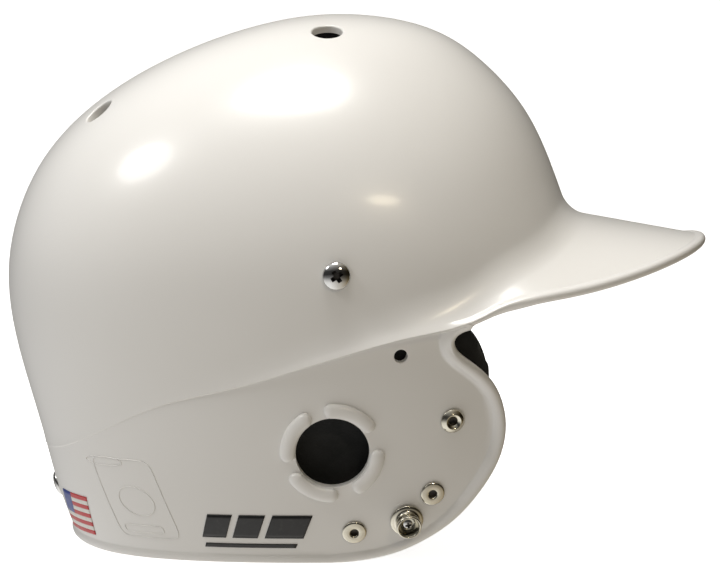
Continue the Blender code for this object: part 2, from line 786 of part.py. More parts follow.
def nut(name, place, bore, flange, inset):
    """Flanged nut behind the shell, its flange against the inner face."""
    nickel = material("nickel", (0.62, 0.60, 0.54), 0.28, 1.0)
    top = -inset
    profile = (
        (bore / 2, top),
        (flange / 2, top),
        (flange / 2, top - 1.0 * MM),
        (bore / 2 + 1.7 * MM, top - 1.2 * MM),
        (bore / 2 + 1.7 * MM, top - 3.6 * MM),
        (bore / 2, top - 3.6 * MM),
    )
    put(link(name, turned_mesh(name, profile, 18), nickel), place)


def insert(name, place):
    """Threaded face-guard insert: a flat flange outside, a barrel through the shell."""
    nickel = material("nickel", (0.62, 0.60, 0.54), 0.28, 1.0)
    bore, flange, barrel = INSERT_BORE / 2, INSERT_FLANGE / 2, INSERT_BARREL / 2
    profile = (
        (bore, 1.1 * MM),
        (flange - 0.5 * MM, 1.1 * MM),
        (flange, 0.6 * MM),
        (flange, 0.0),
        (barrel, 0.0),
        (barrel, -3.4 * MM),
        (bore, -3.4 * MM),
    )
    put(link(name, turned_mesh(name, profile, 20), nickel), place)


def snap(word, side):
    """Chin-strap snap: flanged stud, the screw that holds it, and the nut behind the shell."""
    nickel = material("nickel", (0.62, 0.60, 0.54), 0.28, 1.0)
    point, normal = station(*SNAP_PLACE, side)
    seat = aim(point + normal * 0.6 * MM, normal)
    stud = SNAP_STUD / 2
    profile = (
        (stud - 1.2 * MM, SNAP_HEIGHT),
        (stud - 0.5 * MM, SNAP_HEIGHT),
        (stud, SNAP_HEIGHT - 0.8 * MM),
        (stud, SNAP_HEIGHT - 2.0 * MM),
        (stud - 0.6 * MM, SNAP_HEIGHT - 3.0 * MM),
        (stud - 0.6 * MM, 1.1 * MM),
        (SNAP_FLANGE / 2 - 0.4 * MM, 1.1 * MM),
        (SNAP_FLANGE / 2, 0.7 * MM),
        (SNAP_FLANGE / 2, 0.0),
        (2.5 * MM, 0.0),
        (2.5 * MM, 1.6 * MM),
        (stud - 1.2 * MM, 1.6 * MM),
    )
    put(link("snap_stud_" + word, turned_mesh("snap_stud", profile, 24), nickel), seat)
    head_seat = aim(point + normal * 2.5 * MM, normal)
    screw("snap_screw_" + word, head_seat, 6.2 * MM, 2.4 * MM, 4.0 * MM, 9.6 * MM, 20)
    nut("snap_nut_" + word, aim(point, normal), 4.6 * MM, 12 * MM, SHELL_WALL + NUT_GAP)


def hardware():
    for side, word in ((-1, "right"), (1, "left")):
        point, normal = station(*SIDE_SCREW_PLACE, side)
        seat = aim(point + normal * FIT_GAP, normal)
        screw("side_screw_" + word, seat, SCREW_HEAD, SCREW_HEAD_HEIGHT, SCREW_SHANK, 8.5 * MM)
        nut("side_nut_" + word, aim(point, normal), 5.2 * MM, 13 * MM, SHELL_WALL + NUT_GAP)
        for level, x, height in INSERTS:
            point, normal = station(x, height, side)
            insert("faceguard_insert_" + level + "_" + word, aim(point + normal * FIT_GAP, normal))
        snap(word, side)
    place = rear_place()
    normal = place.to_3x3() @ Vector((0, 0, 1))
    seat = Matrix.Translation(normal * FIT_GAP) @ place
    screw("rear_screw", seat, SCREW_HEAD, SCREW_HEAD_HEIGHT, SCREW_SHANK, 8.5 * MM)
    nut("rear_nut", place, 5.2 * MM, 13 * MM, SHELL_WALL + NUT_GAP)


# ---------------------------------------------------------------- decals
def decal(name, corners, finish, columns=6, rows=4):
    """Film on the wall between four corners given as (angle, height), bottom left first."""
    (a, b, c, d) = (np.array(corner) for corner in corners)
    layers = []
    for lift in (0.55 * MM, 0.30 * MM):
        grid = []
        for v in np.linspace(0, 1, rows + 1):
            u = np.linspace(0, 1, columns + 1)[:, None]
            flat = (a * (1 - u) + b * u) * (1 - v) + (d * (1 - u) + c * u) * v
            grid.append(wall_offset(flat[:, 0], flat[:, 1], np.full(columns + 1, -lift)))
        layers.append(np.array(grid))
    top, bottom = layers
    bm = bmesh.new()
    grid_faces(bm, top)
    grid_faces(bm, bottom, flip=True)
    for pick in (np.s_[0, :], np.s_[-1, :], np.s_[:, 0], np.s_[:, -1]):
        grid_faces(bm, np.array([top[pick], bottom[pick]]))
    return link(name, finish_mesh(bm, name), finish)


def decals():
    striped = material("striped decal", (0.80, 0.30, 0.28), 0.35)
    dark = material("black decal", (0.02, 0.02, 0.02), 0.35)
    degrees = math.radians
    rear = ((161.5, 6.4), (142.5, 6.6), (141.2, 23.2), (157.0, 23.4))
    decal("rear_decal", [(degrees(a), z * MM) for a, z in rear], striped)
    mark = ((109.0, 5.8), (89.0, 6.4), (87.5, 22.5), (107.5, 21.5))
    for side, word in ((-1, "right"), (1, "left")):
        decal("side_decal_" + word, [(-side * degrees(a), z * MM) for a, z in mark], dark)


def main():
    clear_scene()
    shell()
    pads()
    hardware()
    decals()


main()
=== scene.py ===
"""Looks of the batting helmet: fine shell, padded foam, plated fittings, light and camera.

The shell is drawn on the same level sections as the CAD model, at a finer pitch.
"""
import math

import bmesh
import bpy
import numpy as np
from mathutils import Matrix, Vector
from mathutils.bvhtree import BVHTree


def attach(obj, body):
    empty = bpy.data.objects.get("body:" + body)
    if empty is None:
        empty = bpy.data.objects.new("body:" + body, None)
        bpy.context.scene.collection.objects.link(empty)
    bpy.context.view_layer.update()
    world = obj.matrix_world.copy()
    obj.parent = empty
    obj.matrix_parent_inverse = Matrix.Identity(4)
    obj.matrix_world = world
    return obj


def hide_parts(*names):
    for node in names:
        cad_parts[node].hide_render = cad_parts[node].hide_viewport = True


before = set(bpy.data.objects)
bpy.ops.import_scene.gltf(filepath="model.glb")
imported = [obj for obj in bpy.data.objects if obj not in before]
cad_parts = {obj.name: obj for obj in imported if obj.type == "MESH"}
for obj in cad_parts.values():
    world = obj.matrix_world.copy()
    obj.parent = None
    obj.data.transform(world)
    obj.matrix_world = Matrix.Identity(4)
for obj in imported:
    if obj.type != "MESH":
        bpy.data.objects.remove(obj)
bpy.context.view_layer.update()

MM = 0.001

# ---------------------------------------------------------------- driving dimensions
CROWN = 221.3 * MM
SHELL_WALL = 3.2 * MM
FIT_GAP = 0.4 * MM

# Level sections of the wall: height, reach to the rear, reach to the front, half width.
SECTIONS = (
    (221.3, -6.6, -6.6, 0.0),
    (215.5, -45.0, 30.8, 38.0),
    (200.0, -84.5, 55.4, 63.0),
    (180.0, -114.8, 72.6, 80.0),
    (159.0, -133.3, 82.8, 91.0),
    (139.0, -142.8, 90.2, 96.5),
    (118.0, -147.4, 98.0, 98.0),
    (97.0, -146.9, 105.0, 95.5),
    (66.0, -139.9, 112.0, 89.0),
    (45.0, -134.0, 113.0, 84.6),
    (23.0, -128.2, 112.0, 79.0),
    (0.0, -120.0, 108.0, 71.0),
)
SQUARENESS = 0.10
WIDEST_X = -22.0 * MM
CROWN_X = -6.6 * MM

# The notch in front of the ear flap, as an angle round the level sections.
NOTCH_ANGLE = math.radians(62.0)
NOTCH_BLEND = math.radians(46.0)

# Free edge of the bill: half of an ellipse in plan, its height by degrees round the ellipse.
BILL_TIP_X = 147.4 * MM
BILL_ROOT_X = 34.5 * MM
BILL_HALF = 92.0 * MM
BILL_EDGE_HEIGHT = (
    (0.0, 127.8),
    (20.0, 125.4),
    (40.0, 119.4),
    (60.0, 112.2),
    (75.0, 108.0),
    (84.0, 105.2),
    (90.0, 102.4),
)
BILL_WALL = 3.2 * MM
BILL_BEAD = 1.0 * MM
BILL_BEAD_WIDTH = 2.6 * MM

# Height of the ledge above the ear flap, and how far it stands out, by angle in degrees.
LEDGE = (
    (46.0, 107.0, 13.0),
    (54.0, 103.8, 9.4),
    (62.0, 99.4, 6.8),
    (68.0, 96.6, 5.4),
    (73.0, 94.2, 4.4),
    (81.0, 88.9, 3.2),
    (90.0, 81.8, 2.0),
    (100.0, 74.2, 1.0),
    (114.0, 66.0, 0.35),
    (126.0, 56.5, 0.2),
    (146.0, 44.5, 0.15),
    (180.0, 41.5, 0.15),
)
# Fall of the flare from its root on the dome to its edge, by angle in degrees.
FLARE_FALL = (
    (0.0, 10.0),
    (20.0, 12.0),
    (45.0, 11.0),
    (66.0, 9.0),
    (90.0, 6.0),
    (120.0, 3.0),
    (180.0, 2.0),
)
FLARE_ROOT_BEND = 8.0 * MM
FLARE_EDGE_BEND = 8.0 * MM

# Side outline of the ear flap, from under the bill round the notch to the flat stretch of the rim.
FLAP_OUTLINE = (
    (45.4, 96.6),
    (41.2, 95.2),
    (38.9, 92.4),
    (39.6, 88.8),
    (43.2, 85.0),
    (48.8, 80.6),
    (54.6, 74.4),
    (58.6, 66.0),
    (60.2, 56.0),
    (58.4, 44.5),
    (50.4, 29.5),
    (38.4, 15.7),
    (22.4, 5.8),
    (6.0, 1.6),
    (-10.0, 0.0),
)
# Share of the flap's columns that end on that outline; the rest end on the rim behind it.
OUTLINE_SHARE = 0.62
REAR_RIM_RISE = 1.8 * MM
REAR_RISE_START = math.radians(115.0)
RIM_FLAT = 1.5 * MM

# Rolled lip of the flap's front edge and of the rim: how far it stands out and how wide it is.
FLAP_LIP = 2.6 * MM
FLAP_LIP_WIDTH = 3.6 * MM
RIM_LIP = 1.0 * MM
RIM_LIP_WIDTH = 2.6 * MM
LIP_CHANGE_HEIGHT = 40.0 * MM
CORNER_RUN = 7.0 * MM
NOSE = 2.4 * MM
SHORT_COLUMN = 14.0 * MM

# Holes through the shell, by side-view place or by angle and height on the wall.
EAR_PLACE = (-8.9 * MM, 46.8 * MM)
EAR_HOLE = 29.2 * MM
EAR_RIDGE_RADIUS = 17.8 * MM
EAR_RIDGE_HALF_WIDTH = 3.1 * MM
EAR_RIDGE_SPANS = ((28, 104), (117, 194), (206, 280), (296, 366))
VENTS = ((math.radians(89.7), 213.2 * MM), (math.radians(153.6), 180.8 * MM))
VENT_HOLE = 12.4 * MM
SPARE_HOLE_PLACE = (17.9 * MM, 86.0 * MM)
SPARE_HOLE = 5.4 * MM

# Hardware.
SIDE_SCREW_PLACE = (-7.2 * MM, 118.2 * MM)
REAR_SCREW_HEIGHT = 20.0 * MM
SCREW_HEAD = 11.0 * MM
SCREW_HEAD_HEIGHT = 3.0 * MM
SCREW_SHANK = 4.6 * MM
SCREW_HOLE = 5.8 * MM
INSERTS = (
    ("upper", 38.5 * MM, 59.2 * MM),
    ("middle", 30.8 * MM, 29.2 * MM),
    ("lower", -0.4 * MM, 13.4 * MM),
)
INSERT_FLANGE = 9.8 * MM
INSERT_BORE = 3.2 * MM
INSERT_BARREL = 5.4 * MM
SNAP_PLACE = (20.5 * MM, 18.2 * MM)
SNAP_FLANGE = 13.4 * MM
SNAP_STUD = 10.2 * MM
SNAP_HEIGHT = 6.4 * MM

# Pads: foam thickness and how deep under the wall they sit.
PAD_DEPTH = SHELL_WALL + 1.4 * MM
PAD_THICKNESS = 13 * MM


# ---------------------------------------------------------------- small mathematics
def spline(knots, values, at):
    """Natural cubic spline through a few given values."""
    knots = np.asarray(knots, float)
    values = np.asarray(values, float)
    at = np.asarray(at, float)
    step = np.diff(knots)
    count = len(knots)
    matrix = np.eye(count)
    rhs = np.zeros(count)
    for i in range(1, count - 1):
        matrix[i, i - 1 : i + 2] = step[i - 1], 2 * (step[i - 1] + step[i]), step[i]
        rhs[i] = 6 * ((values[i + 1] - values[i]) / step[i] - (values[i] - values[i - 1]) / step[i - 1])
    bend = np.linalg.solve(matrix, rhs)
    i = np.clip(np.searchsorted(knots, at, side="right") - 1, 0, count - 2)
    low = (knots[i + 1] - at) / step[i]
    high = 1 - low
    cubic = ((low**3 - low) * bend[i] + (high**3 - high) * bend[i + 1]) * step[i] ** 2 / 6
    return low * values[i] + high * values[i + 1] + cubic


def table(rows, column, at):
    """A column of a small table of knots, read with a spline."""
    return spline([row[0] for row in rows], [row[column] for row in rows], at)


def even_table(rows, column, at):
    """The same for a table that starts at 0 and is mirrored there."""
    mirrored = [(-row[0],) + tuple(row[1:]) for row in rows[:0:-1]]
    return table(mirrored + list(rows), column, at)


def smooth(x):
    x = np.clip(x, 0.0, 1.0)
    return x * x * (3 - 2 * x)


def unit(vectors):
    return vectors / np.maximum(np.linalg.norm(vectors, axis=-1, keepdims=True), 1e-12)


# ---------------------------------------------------------------- the wall
def wall(angle, height):
    """Point of the wall: angle 0 is the front, pi the rear, on the wearer's right side."""
    angle = np.asarray(angle, float)
    height = np.asarray(height, float)
    depth = np.sqrt(np.clip(1 - height / CROWN, 0, None))
    knots = [math.sqrt(max(0.0, 1 - row[0] * MM / CROWN)) for row in SECTIONS]
    rear, front, half = (spline(knots, [row[k] * MM for row in SECTIONS], depth) for k in (1, 2, 3))
    middle = CROWN_X + (WIDEST_X - CROWN_X) * smooth(depth / 0.5)
    square = SQUARENESS * depth**2 / (depth**2 + 0.09)
    mean = (front - rear) / 2
    lead = (front + rear) / 2 - middle
    cos, sin = np.cos(angle), np.sin(angle)
    x = middle + (mean + lead * cos) * cos * (1 + square * sin**2)
    y = -half * sin * (1 + square * cos**2)
    return np.stack([x, y, height + 0 * x], axis=-1)


def wall_normal(angle, height):
    """Outward unit normal of the wall."""
    turn, drop = 1e-4, 2e-5
    height = np.minimum(height, CROWN - 2 * drop)
    along = wall(angle + turn, height) - wall(angle - turn, height)
    down = wall(angle, height - drop) - wall(angle, height + drop)
    return unit(np.cross(along, down))


def wall_offset(angle, height, depth):
    """Point at a depth inside the wall."""
    return wall(angle, height) - wall_normal(angle, height) * np.asarray(depth)[..., None]


def angle_at(x, height):
    """Angle on the wall where it passes a given X at a given height."""
    x, height = np.broadcast_arrays(np.asarray(x, float), np.asarray(height, float))
    low, high = np.zeros(x.shape), np.full(x.shape, math.pi)
    for _ in range(48):
        mid = (low + high) / 2
        ahead = wall(mid, height)[..., 0] > x
        low, high = np.where(ahead, mid, low), np.where(ahead, high, mid)
    return (low + high) / 2


# ---------------------------------------------------------------- the shell's curves
def edge_curve(angle):
    """Edge of the flare: the bill's free edge in front, the ledge's edge behind the notch."""
    behind = np.maximum(angle, NOTCH_BLEND)
    turn = np.degrees(behind)
    ledge = wall_offset(behind, table(LEDGE, 1, turn) * MM, -table(LEDGE, 2, turn) * MM)
    sweep = np.clip(angle / NOTCH_ANGLE, 0, 1) * math.pi / 2
    bill_x = BILL_ROOT_X + (BILL_TIP_X - BILL_ROOT_X) * np.cos(sweep)
    bill_z = even_table(BILL_EDGE_HEIGHT, 1, np.degrees(sweep)) * MM
    bill = np.stack([bill_x, -BILL_HALF * np.sin(sweep), bill_z], axis=-1)
    blend = smooth((angle - NOTCH_BLEND) / (NOTCH_ANGLE - NOTCH_BLEND))[:, None]
    return bill * (1 - blend) + ledge * blend


def perimeter():
    """Ear flap's edge round the notch and down to the rim: X, height and length along it."""
    outline = np.array(FLAP_OUTLINE) * MM
    run = np.concatenate([[0], np.cumsum(np.linalg.norm(np.diff(outline, axis=0), axis=1))])
    fine = np.linspace(0, run[-1], 400)
    x, z = spline(run, outline[:, 0], fine), spline(run, outline[:, 1], fine)
    tangent = unit(np.stack([np.gradient(x), np.gradient(z)], axis=-1))
    x = x + tangent[:, 1] * NOSE
    z = z - tangent[:, 0] * NOSE
    z = z - RIM_FLAT * smooth(1 - z / (12 * MM))
    return x, z, fine


def spaced(length, near, middle, far):
    """Distances along each column: fixed steps near its start and its end, even ones between."""
    squeeze = np.minimum(1.0, length / SHORT_COLUMN)
    start = [step * MM * squeeze for step in near]
    end = [length - step * MM * squeeze for step in far]
    between = [start[-1] + (end[0] - start[-1]) * (k + 1) / (middle + 1) for k in range(middle)]
    return np.array(start + between + end)


def bead(distance, width):
    """Round-topped profile, 1 at the edge and 0 from a given width on."""
    return np.clip(1 - (distance / width) ** 2, 0, 1)


def surface_normal(grid):
    """Unit normals of the upper grid, with the two ends kept in the mid-plane."""
    across = np.gradient(grid, axis=1)
    across[:, 0, [0, 2]] = 0
    across[:, -1, [0, 2]] = 0
    normal = unit(np.cross(across, np.gradient(grid, axis=0)))
    normal[0] = (0, 0, 1)
    return normal


def dome_and_flare(angle, edge, pitch):
    """Outer and inner grid from the crown down the dome and out to the flare's edge."""
    dome_rows, bend_rows = pitch["dome"], pitch["bend"]
    turn = np.degrees(angle)
    root_height = edge[:, 2] + even_table(FLARE_FALL, 1, turn) * MM
    root = wall(angle, root_height)
    reach = np.linalg.norm(edge - root, axis=-1)
    start_height = root_height + np.minimum(FLARE_ROOT_BEND, 0.9 * reach + 1 * MM)
    outward = unit(edge - root)
    bend_end = root + outward * np.minimum(FLARE_EDGE_BEND, 0.7 * reach)[:, None]

    start_depth = np.sqrt(1 - start_height / CROWN)
    rows = [wall(angle, CROWN * (1 - (start_depth * j / dome_rows) ** 2)) for j in range(dome_rows + 1)]
    start = rows[-1]
    down = unit(wall(angle, start_height - 0.01 * MM) - start)
    pull = down * (np.linalg.norm(root - start, axis=-1) * 0.6)[:, None]
    push = outward * (np.linalg.norm(bend_end - root, axis=-1) * 0.6)[:, None]
    for t in np.linspace(0, 1, bend_rows + 1)[1:]:
        ends = (1 - t) ** 3 * start + t**3 * bend_end
        rows.append(ends + 3 * (1 - t) * t * ((1 - t) * (start + pull) + t * (bend_end - push)))
    length = np.linalg.norm(edge - bend_end, axis=-1)
    to_edge = length - spaced(length, (0.0,), pitch["flare"], pitch["bead"])
    rows += [edge - outward * gap[:, None] for gap in to_edge[1:]]
    outer = np.array(rows)

    normal = surface_normal(outer)
    flared = outer - normal * BILL_WALL
    heights = outer[..., 2]
    angles = np.broadcast_to(angle, heights.shape)
    plain = wall_offset(angles, heights, np.full(heights.shape, SHELL_WALL))
    follow = smooth((NOTCH_ANGLE - angle) / math.radians(14))[None, :, None]
    inner = plain * (1 - follow) + flared * follow
    inner[1 : dome_rows + 1] = plain[1 : dome_rows + 1]
    inner[0] = outer[0] - normal[0] * SHELL_WALL

    on_bill = smooth((NOTCH_ANGLE + math.radians(4) - angle) / math.radians(4))
    rise = BILL_BEAD * on_bill * bead(to_edge[1:], BILL_BEAD_WIDTH)
    outer[-len(rise) :] += normal[-len(rise) :] * rise[..., None]
    return outer, inner


def rear_rise(angle):
    """How far the rim lifts off the resting plane behind the flaps."""
    return REAR_RIM_RISE * smooth((angle - REAR_RISE_START) / (math.pi - REAR_RISE_START))


def nearest(points, curve):
    """Distance of each point of a grid from a curve given as points."""
    gaps = np.linalg.norm(points[:, :, None, :] - curve[None, None, :, :], axis=-1)
    return gaps.min(axis=2)


def flap(angle, ledge, pitch):
    """Outer and inner grid of the ear flap and the band behind it, from the rim up to the ledge."""
    side_columns = len(angle) - 1
    outline_x, outline_z, run = perimeter()
    outline_angle = angle_at(outline_x, outline_z)
    outline_angle[0], outline_z[0] = NOTCH_ANGLE, ledge[0, 2]
    share = np.linspace(0, 1, side_columns + 1)
    on_outline = np.clip(share / OUTLINE_SHARE, 0, 1)
    closer_at_notch = 0.6 * on_outline + 0.4 * on_outline**1.7
    on_outline = run[-1] * closer_at_notch
    behind = np.clip((share - OUTLINE_SHARE) / (1 - OUTLINE_SHARE), 0, 1)
    low_angle = np.interp(on_outline, run, outline_angle)
    low_angle = low_angle + behind * (math.pi - low_angle)
    low_height = np.interp(on_outline, run, outline_z)
    low_height = low_height + rear_rise(low_angle)

    length = np.linalg.norm(wall(low_angle, low_height) - wall(angle, ledge[:, 2]), axis=-1)
    distance = spaced(length, pitch["lip"], pitch["flap"], pitch["ledge"])
    along = distance / np.maximum(length, 1e-9)
    along[:, 0] = np.linspace(0, 1, len(along))
    a = low_angle + (angle - low_angle) * along
    z = low_height + (ledge[:, 2] - low_height) * along
    on_wall = wall(a, z)

    rim_angle = np.concatenate([outline_angle, np.linspace(outline_angle[-1], math.pi, 200)])
    rim_height = np.concatenate([outline_z, np.full(200, outline_z[-1])])
    rim_height = rim_height + rear_rise(rim_angle)
    from_rim = nearest(on_wall, wall(rim_angle, rim_height))
    from_ledge = nearest(on_wall, wall(angle, ledge[:, 2]))
    ledge_out = table(LEDGE, 2, np.degrees(angle)) * MM
    rising = smooth(low_height / LIP_CHANGE_HEIGHT)
    lip = RIM_LIP + (FLAP_LIP - RIM_LIP) * rising
    lip = lip + (ledge_out[0] - FLAP_LIP) * np.exp(-((on_outline / CORNER_RUN) ** 2))
    lip_rise = lip * bead(from_rim, RIM_LIP_WIDTH + (FLAP_LIP_WIDTH - RIM_LIP_WIDTH) * rising)
    ledge_rise = ledge_out * (1 - smooth(from_ledge / (0.4 * MM + 0.2 * ledge_out)))
    outer = wall_offset(a, z, -np.maximum(lip_rise, ledge_rise))
    return outer, wall_offset(a, z, np.full(a.shape, SHELL_WALL))


def nose_strip(outer_edge, inner_edge, rows):
    """Rounded nose along the whole free edge, from the bill's tip to the rear centre."""
    middle = (outer_edge + inner_edge) / 2
    half = (outer_edge - inner_edge) / 2
    along = unit(np.gradient(middle, axis=0))
    along[0], along[-1] = (0, -1, 0), (0, 1, 0)
    ahead = unit(np.cross(half, along))
    bulge = np.minimum(0.95 * np.linalg.norm(half, axis=-1, keepdims=True), NOSE)
    turns = np.linspace(0, math.pi, rows + 1)
    return np.array([middle + half * math.cos(t) + ahead * bulge * math.sin(t) for t in turns])


def build_surface(pitch):
    """Right half of the shell as five grids: dome and flap, outer and inner, and the edge's nose."""
    front = NOTCH_ANGLE * np.linspace(0, 1, pitch["front"] + 1)
    share = np.linspace(0, 1, pitch["side"] + 1)
    closer_in_front = 0.45 * share + 0.55 * share**1.6
    rear = NOTCH_ANGLE + (math.pi - NOTCH_ANGLE) * closer_in_front
    angle = np.concatenate([front, rear[1:]])
    notch = pitch["front"]
    edge = edge_curve(angle)
    upper, upper_in = dome_and_flare(angle, edge, pitch)
    lower, lower_in = flap(angle[notch:], edge[notch:], pitch)
    for below, above in ((lower, upper), (lower_in, upper_in)):
        below[-1] = above[-1, notch:]
        below[:, 0] = above[-1, notch]
    outer_edge = np.concatenate([upper[-1, : notch + 1], lower[0, 1:]])
    inner_edge = np.concatenate([upper_in[-1, : notch + 1], lower_in[0, 1:]])
    nose = nose_strip(outer_edge, inner_edge, pitch["nose"])
    for grid in (upper, upper_in, lower, lower_in, nose):
        grid[..., 2] = np.maximum(grid[..., 2], 0.0)
    return upper, upper_in, lower, lower_in, nose


def station(x, height, side, lift=0.0):
    """Point and outward normal of the wall at a side-view place; side is -1 right, +1 left."""
    angle = angle_at(x, height)
    point = wall_offset(angle, np.asarray(height), np.asarray(-lift))
    normal = wall_normal(angle, np.asarray(height))
    flip = np.array([1.0, -side, 1.0])
    return point * flip, normal * flip


# ---------------------------------------------------------------- materials
def nodes_of(name):
    made = bpy.data.materials.new(name)
    made.use_nodes = True
    tree = made.node_tree
    return made, tree, tree.nodes["Principled BSDF"]


def node(tree, kind, **values):
    made = tree.nodes.new(kind)
    for key, value in values.items():
        if key in made.inputs:
            made.inputs[key].default_value = value
        else:
            setattr(made, key, value)
    return made


def object_coordinates(tree, scale):
    """Position on the object, in units of 1/scale metres."""
    source = node(tree, "ShaderNodeTexCoord")
    scaled = node(tree, "ShaderNodeMapping")
    scaled.inputs["Scale"].default_value = (scale,) * 3
    tree.links.new(source.outputs["Object"], scaled.inputs["Vector"])
    return scaled.outputs["Vector"]


def noise(tree, scale, detail=3.0, rough=0.5):
    made = node(tree, "ShaderNodeTexNoise", Scale=1.0, Detail=detail, Roughness=rough)
    tree.links.new(object_coordinates(tree, scale), made.inputs["Vector"])
    return made.outputs["Fac"]


def ramp(tree, source, low, high, start=0.35, end=0.65):
    """Blend between two values or two colours by a 0..1 source."""
    made = node(tree, "ShaderNodeMapRange")
    made.inputs["From Min"].default_value = start
    made.inputs["From Max"].default_value = end
    tree.links.new(source, made.inputs["Value"])
    if isinstance(low, tuple):
        mixed = node(tree, "ShaderNodeMix", data_type="RGBA")
        mixed.inputs[6].default_value = (*low, 1)
        mixed.inputs[7].default_value = (*high, 1)
        tree.links.new(made.outputs["Result"], mixed.inputs[0])
        return mixed.outputs[2]
    made.inputs["To Min"].default_value = low
    made.inputs["To Max"].default_value = high
    return made.outputs["Result"]


def bump(tree, shader, height, distance, strength=1.0):
    made = node(tree, "ShaderNodeBump", Strength=strength, Distance=distance)
    tree.links.new(height, made.inputs["Height"])
    tree.links.new(made.outputs["Normal"], shader.inputs["Normal"])


def shell_material():
    """Gloss white moulding with a faint pearl, a slight orange peel and handling haze."""
    made, tree, shader = nodes_of("gloss_white_shell")
    tint = ramp(tree, noise(tree, 14.0, 4.0), (0.812, 0.800, 0.780), (0.822, 0.811, 0.793))
    tree.links.new(tint, shader.inputs["Base Color"])
    tree.links.new(ramp(tree, noise(tree, 20.0, 3.0), 0.30, 0.315), shader.inputs["Roughness"])
    tree.links.new(ramp(tree, noise(tree, 30.0, 4.0), 0.105, 0.115), shader.inputs["Coat Roughness"])
    shader.inputs["Coat Weight"].default_value = 0.30
    bump(tree, shader, noise(tree, 260.0, 2.0), 0.000006)
    return made


def foam_material():
    """Black knit facing over foam: fine weave, soft sheen, dust in the weave."""
    made, tree, shader = nodes_of("black_foam_facing")
    tint = ramp(tree, noise(tree, 60.0, 5.0), (0.008, 0.009, 0.009), (0.020, 0.021, 0.021))
    tree.links.new(tint, shader.inputs["Base Color"])
    tree.links.new(ramp(tree, noise(tree, 240.0, 3.0), 0.82, 0.95), shader.inputs["Roughness"])
    shader.inputs["Sheen Weight"].default_value = 0.08
    shader.inputs["Sheen Roughness"].default_value = 0.45
    cells = node(tree, "ShaderNodeTexVoronoi", Scale=1.0)
    tree.links.new(object_coordinates(tree, 1100.0), cells.inputs["Vector"])
    bump(tree, shader, cells.outputs["Distance"], 0.00025, 0.7)
    return made


def plated_material(name, colour, smoothest, roughest):
    """Bright plating with fine handling scratches."""
    made, tree, shader = nodes_of(name)
    dull = tuple(value * 0.86 for value in colour)
    tree.links.new(ramp(tree, noise(tree, 260.0, 4.0), dull, colour), shader.inputs["Base Color"])
    tree.links.new(ramp(tree, noise(tree, 800.0, 5.0), smoothest, roughest), shader.inputs["Roughness"])
    shader.inputs["Metallic"].default_value = 1.0
    bump(tree, shader, noise(tree, 1500.0, 2.0), 0.000006)
    return made


def film_material(name, colour, worn):
    """Printed vinyl film, a little uneven in ink and gloss."""
    made, tree, shader = nodes_of(name)
    tree.links.new(ramp(tree, noise(tree, 500.0, 4.0), worn, colour, 0.25, 0.45), shader.inputs["Base Color"])
    tree.links.new(ramp(tree, noise(tree, 300.0, 3.0), 0.28, 0.4), shader.inputs["Roughness"])
    bump(tree, shader, noise(tree, 900.0, 2.0), 0.000008)
    return made


# ---------------------------------------------------------------- mesh helpers
def new_object(name, mesh, finish=None):
    made = bpy.data.objects.new(name, mesh)
    bpy.context.scene.collection.objects.link(made)
    for one in finish if isinstance(finish, (list, tuple)) else [finish] if finish else []:
        mesh.materials.append(one)
    return made


def turned_mesh(name, profile, segments):
    """Solid of revolution about Z from (radius, height) points, run from top to bottom."""
    bm = bmesh.new()
    rings = []
    for radius, height in profile:
        if radius < 1e-9:
            rings.append([bm.verts.new((0, 0, height))])
            continue
        turns = (2 * math.pi * k / segments for k in range(segments))
        rings.append([bm.verts.new((radius * math.cos(a), radius * math.sin(a), height)) for a in turns])
    closed = len(rings[0]) > 1 and len(rings[-1]) > 1
    pairs = list(zip(rings, rings[1:])) + ([(rings[-1], rings[0])] if closed else [])
    for upper, lower in pairs:
        for k in range(segments):
            n = (k + 1) % segments
            above = (upper[k % len(upper)], upper[n % len(upper)])
            below = (lower[n % len(lower)], lower[k % len(lower)])
            corners = [above[0], below[1], below[0], above[1]]
            corners = list(dict.fromkeys(corners))
            if len(corners) > 2:
                bm.faces.new(corners)
    return finish_mesh(bm, name)


def grid_faces(bm, grid, flip=False, index=0):
    made = [[bm.verts.new(point) for point in row] for row in grid]
    for lower, upper in zip(made, made[1:]):
        for i in range(len(lower) - 1):
            corners = [lower[i], lower[i + 1], upper[i + 1], upper[i]]
            face = bm.faces.new(corners[::-1] if flip else corners)
            face.material_index = index


def finish_mesh(bm, name, merge=2e-6):
    bmesh.ops.remove_doubles(bm, verts=bm.verts, dist=merge)
    bmesh.ops.dissolve_degenerate(bm, edges=bm.edges, dist=1e-8)
    bmesh.ops.recalc_face_normals(bm, faces=bm.faces)
    mesh = bpy.data.meshes.new(name)
    bm.to_mesh(mesh)
    bm.free()
    mesh.shade_smooth()
    return mesh


def cleaned(mesh):
    """Merge the slivers that trimming leaves."""
    bm = bmesh.new()
    bm.from_mesh(mesh)
    bmesh.ops.remove_doubles(bm, verts=bm.verts, dist=0.008 * MM)
    bmesh.ops.dissolve_degenerate(bm, edges=bm.edges, dist=0.004 * MM)
    bm.to_mesh(mesh)
    bm.free()


def applied(obj):
    """The object's mesh with its modifiers applied."""
    graph = bpy.context.evaluated_depsgraph_get()
    mesh = bpy.data.meshes.new_from_object(obj.evaluated_get(graph), depsgraph=graph)
    obj.modifiers.clear()
    obj.data = mesh
    return obj


def aim(point, normal):
    """Placement with +Z along a normal, its X kept level."""
    z = Vector(normal).normalized()
    x = Vector((0, 0, 1)).cross(z)
    x = x.normalized() if x.length > 1e-6 else Vector((1, 0, 0))
    turn = Matrix((x, z.cross(x), z)).transposed().to_4x4()
    return Matrix.Translation(Vector(point)) @ turn


